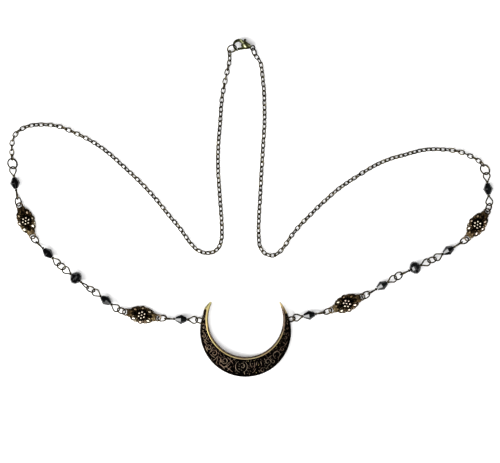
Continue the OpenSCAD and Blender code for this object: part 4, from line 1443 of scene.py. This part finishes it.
@dataclass
class BeadPins:
    """Wire pins through the beads, with a teardrop eye and a wound collar at each end."""

    model: Model
    wires: ShapeTree
    wire: float = 0.6
    eye_d: float = 3.6
    collar_l: float = 0.7
    collar_gap: float = 0.1
    coil_wire: float = 0.4
    coil_turns: float = 2.0
    # How far the returning end of the wire is lifted off the first one, over the whole path
    lift: float = 0.12
    wear: float = 0.32

    def eye_path(self, bead_end: float, outer_end: float) -> np.ndarray:
        """The teardrop from the bead's middle out and back, along X and in the XY plane.

        Args:
            bead_end: half the bead's length.
            outer_end: distance from the pin's middle to the far side of the eye.

        Returns:
            The points of the path.
        """
        r = (self.eye_d - self.wire) / 2
        centre = outer_end - self.eye_d / 2
        neck = bead_end + self.collar_gap + self.collar_l / 2
        beta = math.acos(r / (centre - neck))
        turns = np.linspace(math.pi - beta, beta - math.pi, 30)
        arc = np.column_stack([centre + r * np.cos(turns), r * np.sin(turns)])
        start = np.array([neck, 0.0])
        leg = np.linspace(0.12, 0.9, 5)[:, None]
        out = start + (arc[0] - start) * leg
        home = arc[-1] + (start - arc[-1]) * leg
        shaft = np.array([[0.0, 0.0], [neck - 0.5, 0.0], [neck - 0.2, 0.0]])
        path = np.concatenate([shaft, out, arc, home])
        return np.column_stack([path, np.linspace(0, self.lift, len(path))])

    def coil_path(self, bead_end: float) -> np.ndarray:
        """The wound collar between the bead and the eye, along X.

        Args:
            bead_end: half the bead's length.

        Returns:
            The points of the path.
        """
        along = np.linspace(0, 1, 40)
        around = along * self.coil_turns * math.tau
        r = self.coil_wire * 1.08
        start = bead_end + self.collar_gap + self.coil_wire / 2
        x = start + along * (self.collar_l - self.coil_wire * 0.5)
        return np.column_stack([x, r * np.cos(around), r * np.sin(around)])

    def path_mesh(self, paths: list[np.ndarray], seat: Seat) -> bpy.types.Mesh:
        """Makes open paths of edges.

        Args:
            paths: the points of each path in the seat's axes, in millimetres.
            seat: the pin's seat.

        Returns:
            The paths in place, in metres.
        """
        starts = np.cumsum([0] + [len(path) for path in paths])
        edges = [(s + i, s + i + 1) for s, path in zip(starts, paths) for i in range(len(path) - 1)]
        return mesh_of(seat.place(np.concatenate(paths) * MM), (), edges)

    def build(self) -> None:
        """Makes each pin along its node."""
        for node in self.model.names("pin_"):
            points = self.model.points(node)
            seat = Seat.of(points)
            local = seat.local(points) / MM
            bead = seat.local(self.model.points(node.replace("pin_", "bead_"))) / MM
            bead_end = (bead[:, 0].max() - bead[:, 0].min()) / 2
            outer_end = seat.half[0] / MM
            eyes, coils = [], []
            for side in (-1, 1):
                # Each eye lies in the plane of its node's own eye
                across = local[local[:, 0] * side > outer_end - self.eye_d][:, 1:]
                _, vectors = np.linalg.eigh(np.cov(across.T))
                wide = np.array([0, *vectors[:, 1]])
                base = np.column_stack([np.array([side, 0, 0]), wide, np.cross([side, 0, 0], wide)])
                eyes.append(self.eye_path(bead_end, outer_end) @ base.T)
                coils.append(self.coil_path(bead_end) @ base.T)
            bent = self.wires.grow(self.path_mesh(eyes, seat), Wire=self.wire * MM)
            wound = self.wires.grow(self.path_mesh(coils, seat), Wire=self.coil_wire * MM, Sides=8)
            mesh = joined([bent, wound])
            put_values(mesh, "wear", self.wear)
            shade_smooth(mesh)
            self.model.dress(f"wire_{node}", mesh, PIN_BRONZE, node)


@dataclass
class GlassBeads:
    """Drilled black glass beads: four bicones and a rondelle on each side."""

    model: Model
    bore: float = 0.8
    flat_d: float = 1.8
    bevel: float = 0.07
    bicone_facets: int = 8
    rondelle_facets: int = 10
    # The rondelle's girdle and shoulder: distance from the middle as a share of its length, and
    # diameter as a share of its width
    girdle: tuple[float, float] = (0.08, 1.0)
    shoulder: tuple[float, float] = (0.31, 0.79)
    # Smoke of the facets, of which one is drawn for each, the area in square millimetres from
    # which a face is a facet, and the smoke of the smaller faces
    smokes: tuple[float, ...] = (0.0, 0.0, 0.15, 0.5)
    facet_area: float = 0.4
    edge_smoke: float = 0.1
    seed: int = 11
    # Compass angle of the lamp that a facet of each bead mirrors up to the camera, and the further
    # turns of the beads whose facets only catch part of it or none, in degrees
    lamp: float = 202.0
    turned_off: dict[str, float] = field(default_factory=lambda: {
        "bead_left_2": 9.0, "bead_left_4": 22.5, "bead_left_5": 20.0, "bead_right_5": 16.0})

    def roll(self, rings: list[tuple[float, float]], facets: int, pin: Seat) -> float:
        """Turn about the pin at which a facet beside the girdle mirrors the lamp.

        Args:
            rings: place along the pin and diameter of each ring of corners.
            facets: the number of facets round the bead.
            pin: the pin's seat.

        Returns:
            The turn in degrees.
        """
        heading = math.degrees(math.atan2(pin.axes[1, 0], pin.axes[0, 0]))
        aside = math.tan(math.radians(self.lamp - 180 - heading))
        (first_x, first_d), (second_x, second_d) = rings[-3:-1]
        lean = abs((first_d - second_d) / 2 / (first_x - second_x)) * math.cos(math.pi / facets)
        return math.degrees(math.asin(max(-1.0, min(1.0, aside * lean))))

    def bicone(self, length: float, width: float) -> list[tuple[float, float]]:
        """Place along the pin and diameter of each ring of corners."""
        return [(-length / 2, self.flat_d), (0, width), (length / 2, self.flat_d)]

    def rondelle(self, length: float, width: float) -> list[tuple[float, float]]:
        """Place along the pin and diameter of each ring of corners."""
        waists = [(length * at, width * share) for at, share in (self.girdle, self.shoulder)]
        half = [*waists, (length / 2, self.flat_d)]
        return [(-x, d) for x, d in half[::-1]] + half

    def cut(self, rings: list[tuple[float, float]], facets: int) -> bpy.types.Mesh:
        """Builds a faceted, drilled bead with softened edges, one row of facets facing up.

        Args:
            rings: place along the pin and diameter of each ring of corners.
            facets: the number of facets round the bead.

        Returns:
            Its mesh along X, in millimetres.
        """
        rings = [(rings[0][0], self.bore), *rings, (rings[-1][0], self.bore)]
        around = np.linspace(0, math.tau, facets, endpoint=False) + math.pi / 2 + math.pi / facets
        bead = bmesh.new()
        loops = [[bead.verts.new((x, d / 2 * math.cos(a), d / 2 * math.sin(a))) for a in around]
                 for x, d in rings]
        for first, second in zip(loops, loops[1:] + loops[:1]):
            for i in range(facets):
                after = (i + 1) % facets
                bead.faces.new((first[i], first[after], second[after], second[i]))
        bmesh.ops.recalc_face_normals(bead, faces=bead.faces)
        # The edges of the bore, whose corners lie half its diameter out, stay sharp
        cut_edges = [edge for edge in bead.edges
                     if min(vert.co.yz.length for vert in edge.verts) > self.bore * 0.6]
        bmesh.ops.bevel(
            bead, geom=cut_edges, offset=self.bevel, segments=2, profile=0.5, affect="EDGES")
        return closed_off(bead)

    def build(self) -> None:
        """Makes each bead on its pin."""
        chance = random.Random(self.seed)
        for node in self.model.names("bead_"):
            pin = Seat.of(self.model.points(node.replace("bead_", "pin_")))
            local = pin.local(self.model.points(node)) / MM
            low, high = local.min(0), local.max(0)
            length, width = high[0] - low[0], (high[1:] - low[1:]).max()
            if node.endswith("3"):
                rings, facets = self.rondelle(length, width), self.rondelle_facets
            else:
                rings, facets = self.bicone(length, width), self.bicone_facets
            mesh = self.cut(rings, facets)
            turn = self.roll(rings, facets, pin) + self.turned_off.get(node, 0.0)
            LOG.info("%s: %.1f mm by %.1f mm, turned by %.0f degrees", node, length, width, turn)
            mesh.transform(Matrix.Rotation(math.radians(turn), 4, "X"))
            smoke = [chance.choice(self.smokes) if face.area > self.facet_area else self.edge_smoke
                     for face in mesh.polygons]
            put_values(mesh, "smoke", smoke, "FACE")
            mesh.transform(pin.matrix(MM))
            self.model.dress(f"glass_{node}", mesh, BLACK_GLASS, node)


@dataclass
class JumpRings:
    """Jump rings of round wire, each with the hairline where it was closed."""

    model: Model
    rings: ShapeTree
    # The hairline's width, as an angle in radians
    gap: float = 0.03
    # The least and the most wear of a ring
    wear: tuple[float, float] = (0.22, 0.42)
    seed: int = 5

    def build(self) -> None:
        """Makes each ring in the place of its node."""
        chance = random.Random(self.seed)
        for node in self.model.names("ring_") + ["clasp_ring", "tail_ring"]:
            seat = Seat.of(self.model.points(node))
            mesh = self.rings.grow(
                mesh_of([[0, 0, 0]]), RING_BRONZE, Diameter=float(2 * seat.half[0]),
                Wire=float(2 * seat.half[2]), Gap=self.gap, Gap_Turn=chance.uniform(0, math.tau))
            mesh.transform(seat.matrix())
            put_values(mesh, "wear", chance.uniform(*self.wear))
            self.model.dress(f"wire_{node}", mesh, RING_BRONZE, node)


@dataclass
class CableChains:
    """The two runs of fine oval cable chain."""

    model: Model
    links: ShapeTree
    # The size of the grid in which two corners are one point, in millimetres
    grid: float = 0.001
    wear: float = 0.4

    def loose_parts(self, mesh: bpy.types.Mesh) -> list[np.ndarray]:
        """The points of each link of a node.

        Args:
            mesh: the node's mesh.

        Returns:
            The points of each loose part.
        """
        points = coordinates(mesh)
        places = np.round(points / (self.grid * MM)).astype(np.int64)
        # One number for each place in the grid
        keys = places @ np.array([1, 1000003, 1000000007])
        same = np.unique(keys, return_inverse=True)[1].ravel()
        corners = np.empty(len(mesh.polygons) * 3, np.int32)
        mesh.polygons.foreach_get("vertices", corners)
        faces = same[corners.reshape(-1, 3)]
        # Each point takes the lowest label of the faces round it until none changes
        label = np.arange(same.max() + 1)
        while True:
            lowest = label[faces].min(1)
            before = label.copy()
            for corner in range(3):
                np.minimum.at(label, faces[:, corner], lowest)
            label = label[label]
            if np.array_equal(before, label):
                break
        mine = label[same]
        order = np.argsort(mine, kind="stable")
        cuts = np.flatnonzero(np.diff(mine[order])) + 1
        return [points[group] for group in np.split(order, cuts)]

    def build(self) -> None:
        """Makes each run of chain, a link for each of its node's loose parts."""
        for node in self.model.names("chain_"):
            seats = [Seat.of(part) for part in self.loose_parts(self.model.nodes[node].data)]
            length, width, wire = (float(2 * half) for half in
                                   np.median([seat.half for seat in seats], 0))
            base = mesh_of([seat.centre for seat in seats])
            turns = base.attributes.new("turn", "QUATERNION", "POINT")
            for spot, seat in zip(turns.data, seats):
                spot.value = Matrix(seat.axes.tolist()).to_quaternion()
            mesh = self.links.grow(base, CHAIN_BRONZE, Length=length, Width=width, Wire=wire)
            put_values(mesh, "wear", self.wear)
            self.model.dress(f"oval_{node}", mesh, CHAIN_BRONZE, node)
            LOG.info("%s: %d links", node, len(seats))


@dataclass(frozen=True)
class HighlightPatch:
    """A soft-edged patch of painted highlight: its middle, its half lengths and its strength."""

    at: tuple[float, float]
    half: tuple[float, float]
    strength: float


@dataclass
class LobsterClasp:
    """The cast clasp: a hook with swelling cheeks, and the sprung lever between them."""

    model: Model
    rivet: Vector
    turn: float = -6.0
    cheek_out: float = 0.95
    # The domed outer face of a cheek, its place from the rivet, and the rivet's head on it
    swelling: Cushion = Cushion(
        ((0, 0.5), (0.3, 0.46), (0.55, 0.34), (0.8, 0.16), (0.95, 0.04)), 4.6, 2.9, 0.2)
    swelling_at: tuple[float, float] = (0.15, 0.25)
    head: Cushion = Cushion(((0, 0.1), (0.6, 0.08), (0.95, 0.02)), 0.7, 0.7, 0.0, 20)
    head_rise: float = 0.46
    voxel: float = 0.07
    lever_voxel: float = 0.055
    # The painted highlight down the cheek: its ends, its squared half width and its strength
    highlight_from: tuple[float, float] = (-2.7, 2.9)
    highlight_to: tuple[float, float] = (-0.1, -0.3)
    highlight_spread: float = 0.2
    highlight_strength: float = 0.85
    # Painted highlights on the back and on the shoulder
    back: HighlightPatch = HighlightPatch((1.9, 0.5), (0.9, 0.6), 0.6)
    shoulder: HighlightPatch = HighlightPatch((0.6, 1.1), (0.7, 0.5), 0.35)
    # Wear of the body and of the lever, and what a full ridge adds to each
    body_wear: float = 0.04
    body_ridge_wear: float = 0.5
    lever_wear: float = 0.14
    lever_ridge_wear: float = 0.4
    # Painted top light that facing up adds to the body's wear, and what the wear loses on its tail
    painted_top_light: float = 0.12
    tail_loss: float = 0.7

    def solid(self, node: str) -> bpy.types.Mesh:
        """Merges a copy of a node's mesh.

        Args:
            node: the node.

        Returns:
            The copy, in millimetres.
        """
        whole = bmesh.new()
        whole.from_mesh(self.model.nodes[node].data)
        bmesh.ops.remove_doubles(whole, verts=whole.verts, dist=0.0005 * MM)
        bmesh.ops.scale(whole, vec=(1 / MM, 1 / MM, 1 / MM), verts=whole.verts)
        return closed_off(whole)

    def swellings(self) -> list[bpy.types.Mesh]:
        """The domed outer faces of the cheeks, with the rivet's heads.

        Returns:
            The shells, in millimetres and in place.
        """
        turned = Matrix.Rotation(math.radians(self.turn), 4, "Z")
        place = Matrix.Translation(self.rivet / MM) @ turned
        x, y = self.swelling_at
        result = []
        for flip in (0, 180):
            side = place @ Matrix.Rotation(math.radians(flip), 4, "X")
            swell, head = self.swelling.mesh(), self.head.mesh()
            # The lower cheek's own Y points the other way
            spot = (x, y - flip / 180 * 2 * y, self.cheek_out - 0.02)
            swell.transform(side @ Matrix.Translation(spot))
            head.transform(side @ Matrix.Translation((0, 0, self.cheek_out + self.head_rise)))
            result.extend([swell, head])
        return result

    def finish(self, name: str, node: str, mesh: bpy.types.Mesh, wear: np.ndarray) -> None:
        """Puts a clasp piece in place with its wear.

        Args:
            name: the piece's name.
            node: the node that it stands for.
            mesh: its mesh, in millimetres.
            wear: the wear of each point.
        """
        put_values(mesh, "wear", np.clip(wear, 0, 1))
        mesh.transform(Matrix.Scale(MM, 4))
        shade_smooth(mesh)
        self.model.dress(name, mesh, CLASP_BRONZE, node)

    def along(self, mesh: bpy.types.Mesh) -> np.ndarray:
        """The points of a mesh seen from the rivet, before the clasp's turn.

        Args:
            mesh: the mesh, in millimetres.

        Returns:
            The points as rows.
        """
        points = coordinates(mesh) - np.array(self.rivet / MM)
        angle = math.radians(-self.turn)
        c, s = math.cos(angle), math.sin(angle)
        return points @ np.array([[c, s, 0], [-s, c, 0], [0, 0, 1]])

    def rubbed(self, local: np.ndarray) -> np.ndarray:
        """Painted highlights on the body seen from above: a bright streak down the cheek and a
        paler back and shoulder.

        Args:
            local: the points in the clasp's own axes, from the rivet, in millimetres.

        Returns:
            One number for each point.
        """
        start = np.array(self.highlight_from)
        way = np.array(self.highlight_to) - start
        share = np.clip((local[:, :2] - start) @ way / (way @ way), 0, 1)
        off = local[:, :2] - start - share[:, None] * way
        edge = np.exp(-((off**2).sum(1)) / self.highlight_spread) * (0.5 + 0.5 * share)
        wear = self.highlight_strength * edge
        for patch in (self.back, self.shoulder):
            shares = (local[:, :2] - patch.at) / patch.half
            wear = wear + patch.strength * np.exp(-(shares**2).sum(1))
        return wear

    def build(self) -> None:
        """Makes the body and the lever."""
        body = recast(joined([self.solid("clasp_body"), *self.swellings()]), self.voxel, 3)
        local = self.along(body)
        tail = np.clip((local[:, 0] - 2.3) / 0.6, 0, 1)
        # Faces that look up are painted paler, as painted top light, and carry the painted
        # highlights
        facing_up = np.clip(rows_of(body, "normal")[:, 2], 0, 1)
        wear = self.body_wear + self.painted_top_light * facing_up**3 - self.tail_loss * tail
        wear = wear + self.body_ridge_wear * (ridges(body, 14, 0.1) - 0.5)
        wear = wear + self.rubbed(local) * facing_up
        self.finish("clasp_body_cast", "clasp_body", body, wear)
        lever = recast(self.solid("clasp_lever"), self.lever_voxel, 2)
        wear = self.lever_wear + self.lever_ridge_wear * (ridges(lever, 10, 0.08) - 0.5)
        self.finish("clasp_lever_cast", "clasp_lever", lever, wear)


@dataclass(frozen=True)
class SoftBox:
    """A square lamp that faces the piece's middle: its place and width in metres, its watts."""

    name: str
    at: tuple[float, float, float]
    size: float
    power: float


@dataclass
class Studio:
    """A white floor, a bright ceiling, lamps at the left and the front, and a camera above."""

    field_w: float = 220.0
    centre: tuple[float, float] = (-0.44, -10.43)
    distance: float = 1.4
    sensor: float = 36.0
    # Half the floor's width, in metres, and how far it lies below the piece
    floor_reach: float = 1.2
    floor_drop: float = 0.02
    soft_boxes: tuple[SoftBox, ...] = (
        SoftBox("soft_box_left", (-0.85, -0.35, 0.54), 0.48, 10.5),
        SoftBox("soft_box_front", (0.1, -0.8, 0.75), 0.5, 4.0))
    # The way to the ceiling's middle, the angles from it where its light ends and where it is full,
    # and the radiances
    ceiling_way: tuple[float, float, float] = (-0.1, -0.16, 1.0)
    ceiling_edge: tuple[float, float] = (46.0, 27.0)
    ceiling_glow: float = 2.05
    room_glow: float = 0.14

    def floor(self) -> None:
        """The white floor."""
        corners = [(x * self.floor_reach, y * self.floor_reach, -self.floor_drop * MM)
                   for x, y in ((-1, -1), (1, -1), (1, 1), (-1, 1))]
        mesh = mesh_of(corners, [(0, 1, 2, 3)])
        paper = bpy.data.materials.new("white_matt_paper")
        paper.use_nodes = True
        shader = paper.node_tree.nodes["Principled BSDF"]
        shader.inputs["Base Color"].default_value = linear("#f4f4f4")
        shader.inputs["Roughness"].default_value = 0.9
        shader.inputs["Specular IOR Level"].default_value = 0.1
        mesh.materials.append(paper)
        add_object("floor", mesh)

    def lamps(self) -> None:
        """The soft boxes."""
        middle = Vector((self.centre[0] * MM, self.centre[1] * MM, 0))
        for box in self.soft_boxes:
            light = bpy.data.lights.new(box.name, "AREA")
            light.shape = "SQUARE"
            light.size = box.size
            light.energy = box.power
            lamp = add_object(box.name, light)
            lamp.location = box.at
            lamp.rotation_euler = (middle - Vector(box.at)).to_track_quat("-Z", "Y").to_euler()

    def sky(self) -> None:
        """A white ceiling over the piece in a room that is dim near the floor."""
        world = bpy.data.worlds.new("room")
        bpy.context.scene.world = world
        world.use_nodes = True
        tree = world.node_tree
        tree.nodes.clear()
        way = add_node(tree, "ShaderNodeTexCoord").outputs["Generated"]
        near = add_node(tree, "ShaderNodeVectorMath", {"operation": "DOT_PRODUCT"}, {
            0: way, 1: Vector(self.ceiling_way).normalized()}).outputs["Value"]
        low, high = (math.cos(math.radians(angle)) for angle in self.ceiling_edge)
        bright = add_node(tree, "ShaderNodeMapRange", {"interpolation_type": "SMOOTHSTEP"}, {
            "Value": near, "From Min": low, "From Max": high,
            "To Min": self.room_glow, "To Max": self.ceiling_glow})
        ground = add_node(tree, "ShaderNodeBackground", None, {
            "Color": linear("#ffffff"), "Strength": bright.outputs["Result"]})
        add_node(tree, "ShaderNodeOutputWorld", None, {"Surface": ground.outputs["Background"]})

    def camera(self) -> None:
        """The camera straight above, which sees the photographed width."""
        data = bpy.data.cameras.new("camera")
        data.sensor_width = self.sensor
        data.lens = self.sensor * self.distance / (self.field_w * MM)
        data.clip_end = 10
        camera = add_object("camera", data)
        camera.location = (self.centre[0] * MM, self.centre[1] * MM, self.distance)
        bpy.context.scene.camera = camera

    def build(self) -> None:
        """Sets the scene round the piece."""
        self.floor()
        self.sky()
        self.camera()
        self.lamps()
        scene = bpy.context.scene
        scene.view_settings.view_transform = "Standard"
        scene.view_settings.look = "Medium High Contrast"


def main() -> None:
    """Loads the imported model, dresses each sub-assembly and sets the stage."""
    logging.basicConfig(level=logging.INFO, format="%(message)s")
    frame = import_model()
    model = Model(frame["nodes"])
    rings, wires = ring_tree(), wire_tree()
    Crescent(model).build()
    FlowerConnectors(model, rosette_tree(), rings).build()
    BeadPins(model, wires).build()
    GlassBeads(model).build()
    JumpRings(model, rings).build()
    CableChains(model, link_tree()).build()
    LobsterClasp(model, Vector(frame["joints"][0]["pos_m"])).build()
    Studio().build()
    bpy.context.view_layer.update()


if __name__ == "__main__":
    main()
